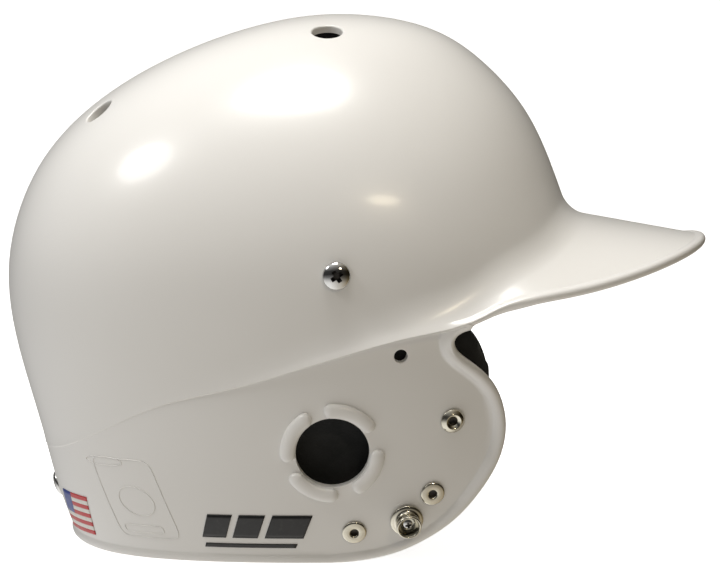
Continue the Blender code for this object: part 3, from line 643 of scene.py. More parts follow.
class Skin:
    """The shell's clean outer surface, for laying cutters, ridges and films on it."""

    def __init__(self, mesh):
        self.mesh = mesh
        self.tree = BVHTree.FromPolygons(
            [v.co for v in mesh.vertices], [tuple(p.vertices) for p in mesh.polygons]
        )

    def on(self, place, u, v, lift=0.0):
        """Point over the surface at u, v in a placement's plane, lifted along its Z."""
        z = place.to_3x3() @ Vector((0, 0, 1))
        start = place @ Vector((u, v, 25 * MM))
        hit = self.tree.ray_cast(start, -z)[0]
        return (hit if hit else place @ Vector((u, v, 0))) + z * lift


# ---------------------------------------------------------------- shell
FINE_PITCH = {
    "front": 64,
    "side": 170,
    "dome": 56,
    "bend": 22,
    "flare": 10,
    "bead": (3.4, 3.0, 2.6, 2.2, 1.8, 1.4, 1.0, 0.6, 0.3, 0.0),
    "lip": (0.0, 0.3, 0.6, 1.0, 1.4, 1.8, 2.2, 2.6, 3.0, 3.4, 3.8, 4.4),
    "flap": 26,
    "ledge": (4.0, 3.0, 2.2, 1.7, 1.3, 1.0, 0.8, 0.6, 0.45, 0.3, 0.15, 0.0),
    "nose": 12,
}


def fine_shell():
    """Both halves of the shell as one fine closed mesh."""
    upper, upper_in, lower, lower_in, nose = build_surface(FINE_PITCH)
    bm = bmesh.new()
    grid_faces(bm, upper)
    grid_faces(bm, upper_in, flip=True)
    grid_faces(bm, lower[::-1])
    grid_faces(bm, lower_in[::-1], flip=True)
    grid_faces(bm, nose)
    for vert in bm.verts:
        if abs(vert.co.y) < 2e-6:
            vert.co.y = 0
    bmesh.ops.remove_doubles(bm, verts=bm.verts, dist=1e-6)
    bmesh.ops.mirror(bm, geom=bm.verts[:] + bm.edges[:] + bm.faces[:], axis="Y", merge_dist=1e-6)
    return finish_mesh(bm, "shell_surface")


def conforming_hole(skin, place, diameter, fillet, depth=9 * MM, segments=64):
    """Cutter for a hole whose rounded lip follows the surface."""
    radius = diameter / 2
    profile = [(radius + fillet, 4 * MM), (radius + fillet, 0.0)]
    for k in range(1, 7):
        turn = math.pi / 2 * (1 - k / 6)
        profile.append((radius + fillet * (1 - math.cos(turn)), -fillet * (1 - math.sin(turn))))
    profile.append((radius, -depth))
    bm = bmesh.new()
    rings = []
    for reach, lift in profile:
        ring = []
        for k in range(segments):
            a = 2 * math.pi * k / segments
            ring.append(bm.verts.new(skin.on(place, reach * math.cos(a), reach * math.sin(a), lift)))
        rings.append(ring)
    for one, two in zip(rings, rings[1:]):
        for k in range(segments):
            n = (k + 1) % segments
            bm.faces.new((one[k], two[k], two[n], one[n]))
    bm.faces.new(rings[0])
    bm.faces.new(rings[-1][::-1])
    return bm


def ridge(skin, place, start, end, steps=34, sides=14):
    """One raised arc of the ear ring, rounded in section and at its ends."""
    half_width, height, sunk = EAR_RIDGE_HALF_WIDTH, 2.3 * MM, 1.2 * MM
    cap = half_width / EAR_RIDGE_RADIUS
    begin, finish = math.radians(start) + cap * 0.2, math.radians(end) - cap * 0.2
    bm = bmesh.new()
    top, base = [], []
    for i in range(steps + 1):
        t = i / steps
        turn = (
            begin
            + (finish - begin) * (0.5 - 0.5 * math.cos(math.pi * t)) * 0.35
            + (finish - begin) * t * 0.65
        )
        from_end = min(turn - begin, finish - turn) / cap
        width = (
            half_width * math.sqrt(max(0.0, 1 - max(0.0, 1 - from_end) ** 2))
            if from_end < 1
            else half_width
        )
        width = max(width, 0.02 * MM)
        crest = height * (width / half_width) ** 0.8
        row, low = [], []
        for k in range(sides + 1):
            a = math.pi * k / sides
            radius = EAR_RIDGE_RADIUS - width * math.cos(a)
            lift = crest * math.sin(a) ** 0.8
            x, y = radius * math.cos(turn), radius * math.sin(turn)
            row.append(skin.on(place, x, y, lift))
            low.append(skin.on(place, x, y, -sunk))
        top.append(row)
        base.append(low)
    grid_faces(bm, top)
    grid_faces(bm, base, flip=True)
    for pick in (0, -1):
        grid_faces(bm, [top[pick], base[pick]])
        grid_faces(bm, [[row[pick] for row in top], [row[pick] for row in base]])
    return bm


def join(pieces, name):
    """One mesh of several separate closed solids."""
    whole = bmesh.new()
    for bm in pieces:
        bmesh.ops.remove_doubles(bm, verts=bm.verts, dist=1e-6)
        bmesh.ops.recalc_face_normals(bm, faces=bm.faces)
        held = bpy.data.meshes.new(name)
        bm.to_mesh(held)
        bm.free()
        whole.from_mesh(held)
        bpy.data.meshes.remove(held)
    mesh = bpy.data.meshes.new(name)
    whole.to_mesh(mesh)
    whole.free()
    return mesh


def restore_normals(mesh, clean):
    """Give the trimmed shell the clean surface's normals, away from its cut edges."""
    tree = BVHTree.FromPolygons([v.co for v in clean.vertices], [tuple(p.vertices) for p in clean.polygons])
    smooth_normals = np.empty(len(clean.vertices) * 3)
    clean.vertices.foreach_get("normal", smooth_normals)
    smooth_normals = smooth_normals.reshape(-1, 3)
    loops = [None] * len(mesh.loops)
    cache = {}
    for face in mesh.polygons:
        for corner in face.loop_indices:
            index = mesh.loops[corner].vertex_index
            if index not in cache:
                point = mesh.vertices[index].co
                hit, _, number, distance = tree.find_nearest(point)
                value = None
                if hit is not None and distance < 0.02 * MM:
                    corners = clean.polygons[number].vertices
                    gaps = np.array([(clean.vertices[c].co - hit).length for c in corners])
                    weight = 1 / (gaps + 1e-7)
                    blend = (smooth_normals[list(corners)] * weight[:, None]).sum(axis=0)
                    value = Vector(blend).normalized()
                cache[index] = value
            value = cache[index]
            own = mesh.corner_normals[corner].vector
            if value is not None and face.normal.dot(value) > 0.85:
                loops[corner] = value
            else:
                loops[corner] = own.copy()
    mesh.normals_split_custom_set(loops)


def make_shell(finish):
    clean = fine_shell()
    skin = Skin(clean)
    shell = new_object("shell_surface", clean.copy(), finish)
    ridges, holes = [], []
    for side in (-1, 1):
        ear = aim(*station(*EAR_PLACE, side))
        for start, end in EAR_RIDGE_SPANS:
            spread = (start, end) if side < 0 else (180 - end, 180 - start)
            ridges.append(ridge(skin, ear, *spread))
        holes.append(conforming_hole(skin, ear, EAR_HOLE, 0.3 * MM, segments=96))
        for angle, height in VENTS:
            x = float(wall(angle, height)[0])
            holes.append(conforming_hole(skin, aim(*station(x, height, side)), VENT_HOLE, 0.9 * MM))
        holes.append(conforming_hole(skin, aim(*station(*SPARE_HOLE_PLACE, side)), SPARE_HOLE, 0.35 * MM))
        holes.append(conforming_hole(skin, aim(*station(*SIDE_SCREW_PLACE, side)), SCREW_HOLE, 0.2 * MM))
        holes.append(conforming_hole(skin, aim(*station(*SNAP_PLACE, side)), SCREW_HOLE, 0.2 * MM))
        for _, x, height in INSERTS:
            place = aim(*station(x, height, side))
            holes.append(conforming_hole(skin, place, INSERT_BARREL + 0.8 * MM, 0.2 * MM))
    rear = aim(wall(math.pi, REAR_SCREW_HEIGHT), wall_normal(math.pi, REAR_SCREW_HEIGHT))
    holes.append(conforming_hole(skin, rear, SCREW_HOLE, 0.2 * MM))
    for kind, mesh in (("UNION", join(ridges, "ridges")), ("DIFFERENCE", join(holes, "holes"))):
        tool = new_object("tool", mesh)
        cut = shell.modifiers.new(kind, "BOOLEAN")
        cut.operation = kind
        cut.solver = "EXACT"
        cut.object = tool
        applied(shell)
        bpy.data.objects.remove(tool)
    cleaned(shell.data)
    shell.data.shade_smooth()
    shell.data.set_sharp_from_angle(angle=math.radians(42))
    restore_normals(shell.data, clean)
    if not shell.data.materials:
        shell.data.materials.append(finish)
    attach(shell, "helmet")
    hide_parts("shell")


# ---------------------------------------------------------------- stage, light, camera
VIEW_HEIGHT_ANGLE = math.radians(5.5)
VIEW_DISTANCE = 0.95
VIEW_TARGET = Vector((1.9 * MM, 0.0, 102.4 * MM))
VIEW_SCALE = 0.43 * MM
FRAME_WIDTH = 720


def make_camera():
    data = bpy.data.cameras.new("camera")
    camera = bpy.data.objects.new("camera", data)
    bpy.context.scene.collection.objects.link(camera)
    back = Vector((0, -math.cos(VIEW_HEIGHT_ANGLE), math.sin(VIEW_HEIGHT_ANGLE)))
    camera.location = VIEW_TARGET + back * VIEW_DISTANCE
    camera.rotation_euler = (-back).to_track_quat("-Z", "Y").to_euler()
    data.sensor_width = 36
    data.lens = data.sensor_width * VIEW_DISTANCE / (FRAME_WIDTH * VIEW_SCALE)
    data.clip_start = 0.05
    data.clip_end = 30
    bpy.context.scene.camera = camera


def make_stage():
    """Seamless white floor that rises into a backdrop all round."""
    made, tree, shader = nodes_of("white_stage")
    tree.links.new(
        ramp(tree, noise(tree, 3.0), (0.95, 0.95, 0.95), (0.97, 0.97, 0.97)), shader.inputs["Base Color"]
    )
    shader.inputs["Roughness"].default_value = 0.9
    shader.inputs["Specular IOR Level"].default_value = 0.1
    shader.inputs["Emission Color"].default_value = (1, 1, 1, 1)
    shader.inputs["Emission Strength"].default_value = 0.85
    bm = bmesh.new()
    profile = [(0.0, 0.0), (1.0, 0.0), (2.6, 0.0)]
    profile += [(2.6 + 0.8 * math.sin(a), 0.8 - 0.8 * math.cos(a)) for a in np.linspace(0.2, math.pi / 2, 7)]
    profile += [(3.4, 3.4)]
    segments = 48
    rings = []
    for reach, height in profile:
        ring = []
        for k in range(segments + 1):
            a = 2 * math.pi * k / segments
            ring.append((reach * math.cos(a), reach * math.sin(a), height - 0.0003))
        rings.append(ring)
    grid_faces(bm, rings)
    stage = new_object("stage", finish_mesh(bm, "stage"), made)
    stage.visible_diffuse = False
    stage.visible_glossy = False
    stage.visible_shadow = False


def area_light(name, towards, distance, size, power, colour=(1, 1, 1)):
    """Lamp at a distance from the helmet's middle, in a given direction."""
    data = bpy.data.lights.new(name, "AREA")
    data.shape = "ELLIPSE"
    data.size, data.size_y = size
    data.energy = power
    data.color = colour
    lamp = bpy.data.objects.new(name, data)
    bpy.context.scene.collection.objects.link(lamp)
    direction = Vector(towards).normalized()
    lamp.location = VIEW_TARGET + direction * distance
    lamp.rotation_euler = direction.to_track_quat("Z", "Y").to_euler()


def make_light():
    """Pale room: bright ceiling and table, a warm darker wall ahead of the bill."""
    scene = bpy.context.scene
    scene.view_settings.view_transform = "Standard"
    world = bpy.data.worlds.new("studio")
    scene.world = world
    world.use_nodes = True
    tree = world.node_tree
    source = node(tree, "ShaderNodeTexCoord")
    split = node(tree, "ShaderNodeSeparateXYZ")
    tree.links.new(source.outputs["Generated"], split.inputs[0])
    height = node(tree, "ShaderNodeMapRange")
    height.inputs["From Min"].default_value = -1
    tree.links.new(split.outputs["Z"], height.inputs["Value"])
    rise = node(tree, "ShaderNodeValToRGB")
    stops = ((0.0, 1.45), (0.22, 1.15), (0.40, 0.26), (0.50, 0.05), (0.64, 0.06), (0.82, 0.45), (1.0, 1.20))
    while len(rise.color_ramp.elements) < len(stops):
        rise.color_ramp.elements.new(0.5)
    for element, (place, level) in zip(rise.color_ramp.elements, stops):
        element.position = place
        element.color = (level, level * 0.985, level * 0.955, 1)
    tree.links.new(height.outputs["Result"], rise.inputs[0])
    length = node(tree, "ShaderNodeMapRange")
    length.inputs["From Min"].default_value = -1
    tree.links.new(split.outputs["X"], length.inputs["Value"])
    tone = node(tree, "ShaderNodeValToRGB")
    tone.color_ramp.elements[0].color = (1.0, 1.0, 1.0, 1)
    tone.color_ramp.elements[1].color = (0.27, 0.21, 0.115, 1)
    tone.color_ramp.elements[0].position = 0.30
    tone.color_ramp.elements[1].position = 0.95
    tree.links.new(length.outputs["Result"], tone.inputs[0])
    mixed = node(tree, "ShaderNodeMix", data_type="RGBA", blend_type="MULTIPLY")
    mixed.inputs[0].default_value = 1.0
    tree.links.new(rise.outputs[0], mixed.inputs[6])
    tree.links.new(tone.outputs[0], mixed.inputs[7])
    tree.links.new(mixed.outputs[2], tree.nodes["Background"].inputs["Color"])
    tree.nodes["Background"].inputs["Strength"].default_value = 0.93
    area_light("ceiling", (-0.08, -0.22, 0.97), 1.5, (0.75, 0.60), 13.5, (1.0, 0.99, 0.96))
    area_light("ceiling_rear", (-0.70, -0.32, 0.64), 1.5, (0.55, 0.45), 6.0, (1.0, 0.99, 0.97))
    area_light("window", (0.35, -0.83, 0.44), 1.5, (0.26, 0.10), 1.6, (1.0, 0.86, 0.62))


# ---------------------------------------------------------------- pads
def oval(angle, height, half_angle, half_height, power=3.0):
    """Rounded patch of the wall, centred on an angle and a height."""

    def place(share, turn):
        cos, sin = np.cos(turn), np.sin(turn)
        reach = (np.abs(cos) ** power + np.abs(sin) ** power) ** (-1 / power)
        return angle + half_angle * share * reach * cos, height + half_height * share * reach * sin

    return place


def crown_patch(share, turn):
    """Long oval over the crown, in (angle, root of depth) round the highest point."""
    front, rear, side, power = 0.22, 0.27, 0.13, 3.2
    length = np.where(np.cos(turn) > 0, front, rear)
    along, across = np.abs(np.cos(turn) / length), np.abs(np.sin(turn) / side)
    reach = (along**power + across**power) ** (-1 / power)
    return turn, CROWN * (1 - (share * reach) ** 2)


EAR_PAD_OUTLINE = (
    (47.0, 98.0),
    (56.0, 85.5),
    (58.5, 72.0),
    (58.0, 56.0),
    (52.0, 39.0),
    (36.0, 28.0),
    (10.0, 26.0),
    (-12.0, 18.5),
    (-44.0, 18.5),
    (-62.0, 27.0),
    (-68.0, 48.0),
    (-64.0, 72.0),
    (-48.0, 88.0),
    (-14.0, 96.0),
    (18.0, 100.0),
)
EAR_PAD_OPENING = 20.0 * MM


def ear_pad_patch(side):
    """Ring of foam from the ear opening out to the pad's outline, in side-view places."""
    centre = np.array(EAR_PLACE)
    points = np.array(EAR_PAD_OUTLINE) * MM
    loop = np.concatenate([points, points, points, points[:1]])
    knots = np.arange(len(loop))
    fine = np.linspace(len(points), 2 * len(points), 300)
    x, z = spline(knots, loop[:, 0], fine) - centre[0], spline(knots, loop[:, 1], fine) - centre[1]
    bearing = np.unwrap(np.arctan2(z, x))
    distance = np.hypot(x, z)
    order = np.argsort(np.mod(bearing, 2 * math.pi))
    bearing, distance = np.mod(bearing, 2 * math.pi)[order], distance[order]

    def place(share, turn):
        limit = np.interp(turn, bearing, distance, period=2 * math.pi)
        reach = EAR_PAD_OPENING + (limit - EAR_PAD_OPENING) * share
        x, height = centre[0] + reach * np.cos(turn), centre[1] + reach * np.sin(turn)
        angle = angle_at(x, height)
        return (angle if side < 0 else -angle), height

    return place


def inflated(name, start, finish, frames):
    """Cloth blown up from a slightly thinner copy of a pad, held near the pad's own solid."""
    mesh = start.data.copy()
    mesh.transform(start.matrix_world)
    mesh.materials.clear()
    made = new_object(name, mesh)
    tree = BVHTree.FromPolygons([v.co for v in mesh.vertices], [tuple(p.vertices) for p in mesh.polygons])
    remesh = made.modifiers.new("remesh", "REMESH")
    remesh.mode = "VOXEL"
    remesh.voxel_size = 4.5 * MM
    thin = made.modifiers.new("thin", "DISPLACE")
    thin.strength = -0.8 * MM
    thin.mid_level = 0
    applied(made)
    before = [v.co.copy() for v in made.data.vertices]
    if frames:
        scene = bpy.context.scene
        cloth = made.modifiers.new("cloth", "CLOTH")
        cloth.settings.use_pressure = True
        cloth.settings.uniform_pressure_force = 4.0
        cloth.settings.effector_weights.gravity = 0
        cloth.settings.quality = 5
        cloth.point_cache.frame_start, cloth.point_cache.frame_end = 1, frames
        for frame_number in range(1, frames + 1):
            scene.frame_set(frame_number)
        applied(made)
        scene.frame_set(1)
    for vert, first in zip(made.data.vertices, before):
        move = vert.co - first
        vert.co = first + move * min(1.0, 6 * MM / max(move.length, 1e-9))
        hit, normal, _, _ = tree.find_nearest(vert.co)
        over = (vert.co - hit).dot(normal)
        from_head = hit - Vector((-10 * MM, 0, 100 * MM))
        limit = 0.4 * MM if normal.dot(from_head) > 0 else 4.5 * MM
        if over > limit:
            vert.co -= normal * (over - limit)
    made.data.materials.clear()
    made.data.materials.append(finish)
    finer = made.modifiers.new("finer", "SUBSURF")
    finer.levels = finer.render_levels = 1
    applied(made)
    made.data.shade_smooth()
    return made


def tube(bm, line, radius, sides=8, index=0):
    """Closed round cord along a loop of points."""
    line = [Vector(point) for point in line]
    count = len(line)
    rings = []
    for n, point in enumerate(line):
        along = (line[(n + 1) % count] - line[n - 1]).normalized()
        side = along.cross(point - Vector((-10 * MM, 0, 100 * MM))).normalized()
        up = side.cross(along)
        turns = (2 * math.pi * k / sides for k in range(sides))
        rings.append([bm.verts.new(point + (side * math.cos(a) + up * math.sin(a)) * radius) for a in turns])
    for n in range(count):
        for k in range(sides):
            m, j = (n + 1) % count, (k + 1) % sides
            face = bm.faces.new((rings[n][k], rings[m][k], rings[m][j], rings[n][j]))
            face.material_index = index


def relaxed(line, rounds=6):
    """A closed loop of points with its small kinks eased out."""
    points = np.array([tuple(point) for point in line])
    for _ in range(rounds):
        points = 0.5 * points + 0.25 * (np.roll(points, 1, axis=0) + np.roll(points, -1, axis=0))
    return points


def stitch(bm, point, along, normal, length, radius):
    """One thread stitch lying on a surface."""
    side = normal.cross(along).normalized()
    rings = []
    for share, size in ((-1.0, 0.25), (-0.7, 0.85), (0.0, 1.0), (0.7, 0.85), (1.0, 0.25)):
        middle = point + along * (share * length / 2) + normal * (radius * (0.5 - 0.5 * abs(share)))
        ring = []
        for k in range(6):
            a = math.pi * k / 3
            ring.append(bm.verts.new(middle + (side * math.cos(a) + normal * math.sin(a)) * radius * size))
        rings.append(ring)
    for one, two in zip(rings, rings[1:]):
        for k in range(6):
            j = (k + 1) % 6
            bm.faces.new((one[k], one[j], two[j], two[k]))
    bm.faces.new(rings[0][::-1])
    bm.faces.new(rings[-1])


def pad_trim(name, pad, place, depth, thickness, foam, thread, opening=False):
    """Welted edge round a pad and a row of stitches inside it."""
    turns = np.linspace(0, 2 * math.pi, 160, endpoint=False)
    mesh = pad.data
    tree = BVHTree.FromPolygons([v.co for v in mesh.vertices], [tuple(p.vertices) for p in mesh.polygons])
    bm = bmesh.new()
    for share in (1.0, 0.0) if opening else (1.0,):
        angle, height = place(share, turns)
        line = wall_offset(angle, height, np.full(len(turns), depth + 0.34 * thickness))
        line = [tree.find_nearest(Vector(point))[0] for point in line]
        tube(bm, relaxed(line), 0.9 * MM)
    welt = new_object(name + "_welt", finish_mesh(bm, name + "_welt"), foam)
    bm = bmesh.new()
    count = 72
    turns = np.linspace(0, 2 * math.pi, count * 2, endpoint=False)
    for share in (0.78, 0.24) if opening else (0.78,):
        angle, height = place(share, turns)
        line = wall_offset(angle, height, np.full(len(turns), depth + 1.5 * thickness))
        line = [tree.find_nearest(Vector(point)) for point in line]
        for n in range(0, len(line), 2):
            start, finish = line[n][0], line[(n + 1) % len(line)][0]
            run = finish - start
            stitch(bm, (start + finish) / 2, run.normalized(), line[n][1], run.length * 1.15, 0.4 * MM)
    seam = new_object(name + "_stitches", finish_mesh(bm, name + "_stitches"), thread)
    for piece in (welt, seam):
        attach(piece, "helmet")


def make_pads(foam, thread):
    frames = 20
    jobs = [
        ("crown_pad", crown_patch, 11 * MM, False),
        ("brow_pad", oval(0.0, 151 * MM, math.radians(40), 20 * MM), 12 * MM, False),
        ("rear_pad", oval(math.pi, 68 * MM, math.radians(30), 31 * MM), PAD_THICKNESS, False),
    ]
    for side, word in ((-1, "right"), (1, "left")):
        temple = oval(-side * math.radians(92), 152 * MM, math.radians(26), 20 * MM)
        jobs.append(("temple_pad_" + word, temple, 12 * MM, False))
        jobs.append(("ear_pad_" + word, ear_pad_patch(side), 15 * MM, True))
    for name, place, thickness, opening in jobs:
        pad = inflated(name + "_soft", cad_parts[name], foam, frames)
        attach(pad, "helmet")
        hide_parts(name)
        pad_trim(name, pad, place, PAD_DEPTH, thickness, foam, thread, opening)


def make_ear_facings(foam):
    """Black mesh facing across the opening of each ear pad."""
    turns = np.linspace(0, 2 * math.pi, 49)
    for side, word in ((-1, "right"), (1, "left")):
        place = ear_pad_patch(side)
        angle, height = place(0.04, turns)
        bm = bmesh.new()
        layers = []
        for depth in (9.0 * MM, 9.8 * MM):
            outline = wall_offset(angle, height, np.full(len(turns), depth))
            middle = outline[:-1].mean(axis=0)
            layers.append([middle + (outline - middle) * share for share in np.linspace(0, 1, 9)])
        grid_faces(bm, layers[0])
        grid_faces(bm, layers[1], flip=True)
        grid_faces(bm, [layers[0][-1], layers[1][-1]])
        facing = new_object("ear_facing_" + word, finish_mesh(bm, "ear_facing_" + word), foam)
        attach(facing, "helmet")


# ---------------------------------------------------------------- fittings
def rounded(points, radius, steps=4):
    """Profile with its inner corners rounded."""
    made = [points[0]]
    for before, corner, after in zip(points, points[1:], points[2:]):
        a, c, b = np.array(before), np.array(corner), np.array(after)
        reach = min(radius, 0.45 * np.linalg.norm(a - c), 0.45 * np.linalg.norm(b - c))
        start, end = c + unit(a - c) * reach, c + unit(b - c) * reach
        for t in np.linspace(0, 1, steps + 1):
            made.append(tuple((1 - t) ** 2 * start + 2 * t * (1 - t) * c + t**2 * end))
    return made + [points[-1]]


def fitting(name, profile, place, finish, body, shows, segments=96):
    mesh = turned_mesh(name, profile, segments)
    mesh.transform(place)
    mesh.shade_smooth()
    mesh.set_sharp_from_angle(angle=math.radians(50))
    made = new_object(name, mesh, finish)
    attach(made, body)
    if shows:
        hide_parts(shows)
    return made


def cross_cutter(width, length, depth, top):
    """Plus-shaped plug whose arms narrow and shorten with depth."""
    bm = bmesh.new()
    rings = []
    for height, reach, half in ((top + MM, length / 2, width / 2), (top - depth, length * 0.2, width * 0.32)):
        ring = []
        for quarter in range(4):
            turn = Matrix.Rotation(quarter * math.pi / 2, 3, "Z")
            for x, y in ((reach, -half), (reach, half), (half, half)):
                ring.append(bm.verts.new(turn @ Vector((x, y, height))))
        rings.append(ring)
    for n in range(12):
        m = (n + 1) % 12
        bm.faces.new((rings[1][n], rings[1][m], rings[0][m], rings[0][n]))
    bm.faces.new(rings[0])
    bm.faces.new(rings[1][::-1])
    return finish_mesh(bm, "cross")


def fine_screw(name, place, head, height, shank, length, finish, painted_recess_shade, turn=0.6):
    """Polished dome head with a cross recess whose walls take a dark finish as painted shade."""
    radius = head / 2
    arc = [math.sin(t) for t in np.linspace(0, math.pi / 2, 14)]
    dome = [(radius * t, height * (0.22 + 0.78 * math.sqrt(max(0.0, 1 - t * t)))) for t in arc]
    profile = dome + [(radius * 0.97, 0.0), (shank / 2, 0.0), (shank / 2, -length), (0.0, -length)]
    mesh = turned_mesh(name, profile, 96)
    made = new_object(name + "_polished", mesh, finish)
    # The cutter's dark finish passes to the recess walls: painted shade inside the cross recess.
    cutter = new_object("cutter", cross_cutter(0.18 * head, 0.60 * head, 0.20 * head, height * 0.98), painted_recess_shade)
    cut = made.modifiers.new("recess", "BOOLEAN")
    cut.solver = "EXACT"
    cut.material_mode = "TRANSFER"
    cut.object = cutter
    cutter.matrix_world = Matrix.Rotation(turn, 4, "Z")
    applied(made)
    bpy.data.objects.remove(cutter)
    made.data.transform(place)
    made.data.shade_smooth()
    made.data.set_sharp_from_angle(angle=math.radians(35))
    if not made.data.materials:
        made.data.materials.append(finish)
    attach(made, name)
    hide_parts(name)


def make_fittings(chrome, nickel, painted_recess_shade):
    for side, word in ((-1, "right"), (1, "left")):
        point, normal = station(*SIDE_SCREW_PLACE, side)
        seat = aim(point + normal * FIT_GAP, normal)
        fine_screw(
            "side_screw_" + word, seat, SCREW_HEAD, SCREW_HEAD_HEIGHT, SCREW_SHANK, 8.5 * MM, chrome, painted_recess_shade
        )
        for level, x, height in INSERTS:
            name = "faceguard_insert_" + level + "_" + word
            point, normal = station(x, height, side)
            bore, flange, barrel = INSERT_BORE / 2, INSERT_FLANGE / 2, INSERT_BARREL / 2
            mouth = 1.15 * MM if level == "upper" else 0.8 * MM
            profile = [(bore, -3.4 * MM), (bore, mouth - 0.4 * MM), (bore + 0.4 * MM, mouth)]
            crown, shoulder = (1.9 * MM, 0.9 * MM) if level == "upper" else (0.85 * MM, 0.70 * MM)
            profile += [(flange * 0.62, crown), (flange - 0.5 * MM, shoulder), (flange, 0.35 * MM)]
            profile += [(flange, 0.0), (barrel, 0.0), (barrel, -3.4 * MM)]
            place = aim(point + normal * FIT_GAP, normal)
            fitting(
                name + "_plated", rounded(profile, 0.3 * MM)[::-1], place, nickel, "helmet", name
            )
            # Dark disc inside each insert's bore: painted shade, so the bore reads dark.
            bore_shade_disc = [(0.0, -1.6 * MM), (bore, -1.6 * MM), (bore, -2.4 * MM), (0.0, -2.4 * MM)]
            fitting(name + "_painted_bore_shade", bore_shade_disc, place, painted_recess_shade, "helmet", None)
        point, normal = station(*SNAP_PLACE, side)
        seat = aim(point + normal * 0.6 * MM, normal)
        stud, flange, top = SNAP_STUD / 2, SNAP_FLANGE / 2, SNAP_HEIGHT
        profile = [(stud - 1.1 * MM, 1.6 * MM), (stud - 1.1 * MM, top - 0.5 * MM), (stud - 0.6 * MM, top)]
        profile += [
            (stud - 0.1 * MM, top - 0.35 * MM),
            (stud, top - 1.3 * MM),
            (stud - 0.7 * MM, top - 2.3 * MM),
        ]
        profile += [(stud - 0.7 * MM, 1.9 * MM), (stud, 1.2 * MM), (flange - 0.7 * MM, 1.0 * MM)]
        profile += [(flange, 0.6 * MM), (flange, 0.0), (2.5 * MM, 0.0), (2.5 * MM, 1.6 * MM)]
        name = "snap_stud_" + word
        fitting(name + "_plated", rounded(profile, 0.4 * MM)[::-1], seat, nickel, "helmet", name)
        head = aim(point + normal * 2.5 * MM, normal)
        fine_screw("snap_screw_" + word, head, 6.2 * MM, 2.4 * MM, 4.0 * MM, 9.6 * MM, chrome, painted_recess_shade, 0.2)
    normal = Vector(wall_normal(math.pi, REAR_SCREW_HEIGHT).tolist())
    rear = aim(wall(math.pi, REAR_SCREW_HEIGHT) + np.array(normal) * FIT_GAP, normal)
    fine_screw("rear_screw", rear, SCREW_HEAD, SCREW_HEAD_HEIGHT, SCREW_SHANK, 8.5 * MM, chrome, painted_recess_shade)


# ---------------------------------------------------------------- films and mould marks
BLOCK_SHARE = 0.42
FILM_GAP = 0.002
MARK_BARS = ((108.9, 104.0), (102.7, 97.8), (96.5, 89.4))
# Outlines as middle angle, middle height, half angle, half height, squareness.
MOULD_OUTLINES = (
    (131.5, 40.5, 5.6, 1.7, 2.4),
    (124.5, 25.5, 8.2, 16.5, 9.0),
    (123.6, 24.5, 4.6, 6.2, 2.0),
    (123.2, 12.6, 5.4, 1.6, 5.0),
)


def film(name, shapes, shows):
    """Closed thin films on the wall; each shape is a finish and corners (angle in degrees, height)."""
    finishes, whole = [], bmesh.new()
    for finish, corners in shapes:
        if finish not in finishes:
            finishes.append(finish)
        a, b, c, d = (np.array([math.radians(x), z * MM]) for x, z in corners)
        layers = []
        for lift in (0.32 * MM, 0.02 * MM):
            grid = []
            for v in np.linspace(0, 1, 7):
                u = np.linspace(0, 1, 25)[:, None]
                flat = (a * (1 - u) + b * u) * (1 - v) + (d * (1 - u) + c * u) * v
                grid.append(wall_offset(flat[:, 0], flat[:, 1], np.full(25, -lift)))
            layers.append(np.array(grid))
        top, bottom = layers
        index = finishes.index(finish)
        grid_faces(whole, top, index=index)
        grid_faces(whole, bottom, flip=True, index=index)
        for pick in (np.s_[0, :], np.s_[-1, :], np.s_[:, 0], np.s_[:, -1]):
            grid_faces(whole, np.array([top[pick], bottom[pick]]), index=index)
    made = new_object(name, finish_mesh(whole, name), finishes)
    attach(made, "helmet")
    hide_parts(shows)


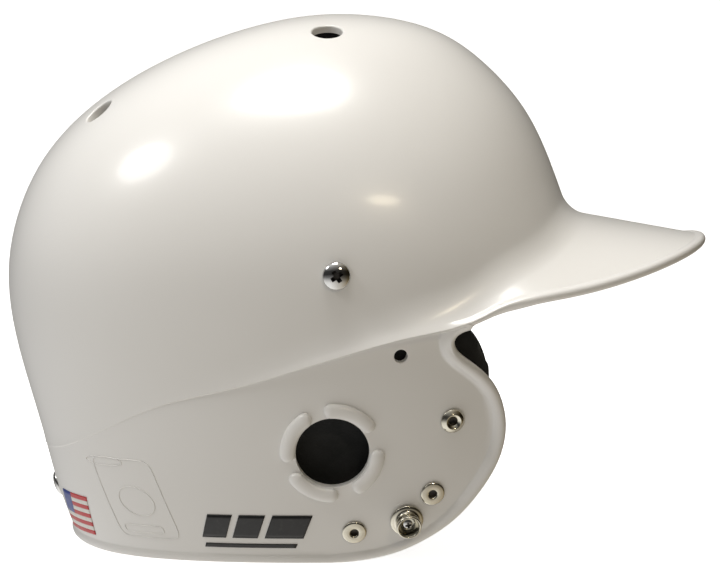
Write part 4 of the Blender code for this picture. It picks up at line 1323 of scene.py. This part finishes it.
def make_films(red, cream, blue, black):
    """Nine stripes with a plain block at the upper rear, and a plain slanted mark on each side."""
    low_left, low_right = np.array((161.5, 6.4)), np.array((142.5, 6.6))
    high_left, high_right = np.array((157.0, 23.4)), np.array((141.2, 23.2))

    def part_of(u0, u1, v0, v1):
        def at(u, v):
            low = low_left * (1 - u) + low_right * u
            high = high_left * (1 - u) + high_right * u
            return tuple(low * (1 - v) + high * v)

        return at(u0, v0), at(u1, v0), at(u1, v1), at(u0, v1)

    count, block = 9, 4
    shapes = []
    for n in range(count):
        start = BLOCK_SHARE if n >= block else 0.0
        finish = red if n % 2 == 0 else cream
        shapes.append((finish, part_of(start, 1, n / count, (n + 1) / count - FILM_GAP)))
    shapes.append((blue, part_of(0, BLOCK_SHARE - FILM_GAP, block / count, 1 - FILM_GAP)))
    film("rear_stripes", shapes, "rear_decal")
    for side, word in ((-1, "right"), (1, "left")):
        bars = [
            ((start, 10.8), (end, 10.8), (end - 1.6, 20.6), (start - 1.6, 20.6))
            for start, end in MARK_BARS
        ]
        bars.append(((108.6, 6.6), (90.8, 6.6), (90.5, 8.2), (108.3, 8.2)))
        shapes = [(black, tuple((-side * a, z) for a, z in corners)) for corners in bars]
        film("side_mark_" + word, shapes, "side_decal_" + word)


def make_mould_marks(finish):
    """Faint raised outlines moulded into the shell at the rear right."""
    bm = bmesh.new()
    turns = np.linspace(0, 2 * math.pi, 120, endpoint=False)
    lean = 0.16
    for middle, middle_height, half, half_height, power in MOULD_OUTLINES:
        c, s = np.cos(turns), np.sin(turns)
        reach = (np.abs(c) ** power + np.abs(s) ** power) ** (-1 / power)
        height = middle_height + half_height * reach * s
        angle = middle + half * reach * c + lean * (height - middle_height)
        line = wall_offset(np.radians(angle), height * MM, np.full(len(turns), -0.02 * MM))
        tube(bm, line, 0.24 * MM, sides=6)
    marks = new_object("mould_marks", finish_mesh(bm, "mould_marks"), finish)
    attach(marks, "helmet")


# ---------------------------------------------------------------- build
make_camera()
make_stage()
make_light()
white = shell_material()
foam = foam_material()
chrome = plated_material("chrome_plate", (0.66, 0.66, 0.655), 0.03, 0.07)
nickel = plated_material("nickel_plate", (0.66, 0.63, 0.54), 0.10, 0.18)
make_shell(white)
make_mould_marks(white)
make_pads(foam, film_material("grey_thread", (0.050, 0.050, 0.050), (0.030, 0.030, 0.030)))
make_ear_facings(foam)
# The dark recess_shadow finish is painted shade, used in screw recesses and insert bores.
make_fittings(chrome, nickel, plated_material("recess_shadow", (0.10, 0.095, 0.09), 0.3, 0.45))
make_films(
    film_material("red_film", (0.56, 0.045, 0.05), (0.50, 0.10, 0.09)),
    film_material("cream_film", (0.78, 0.76, 0.72), (0.68, 0.66, 0.62)),
    film_material("blue_film", (0.05, 0.08, 0.30), (0.09, 0.11, 0.28)),
    film_material("black_film", (0.008, 0.008, 0.009), (0.02, 0.02, 0.02)),
)
for name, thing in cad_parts.items():
    if "nut" in name:
        thing.data.materials[0] = nickel
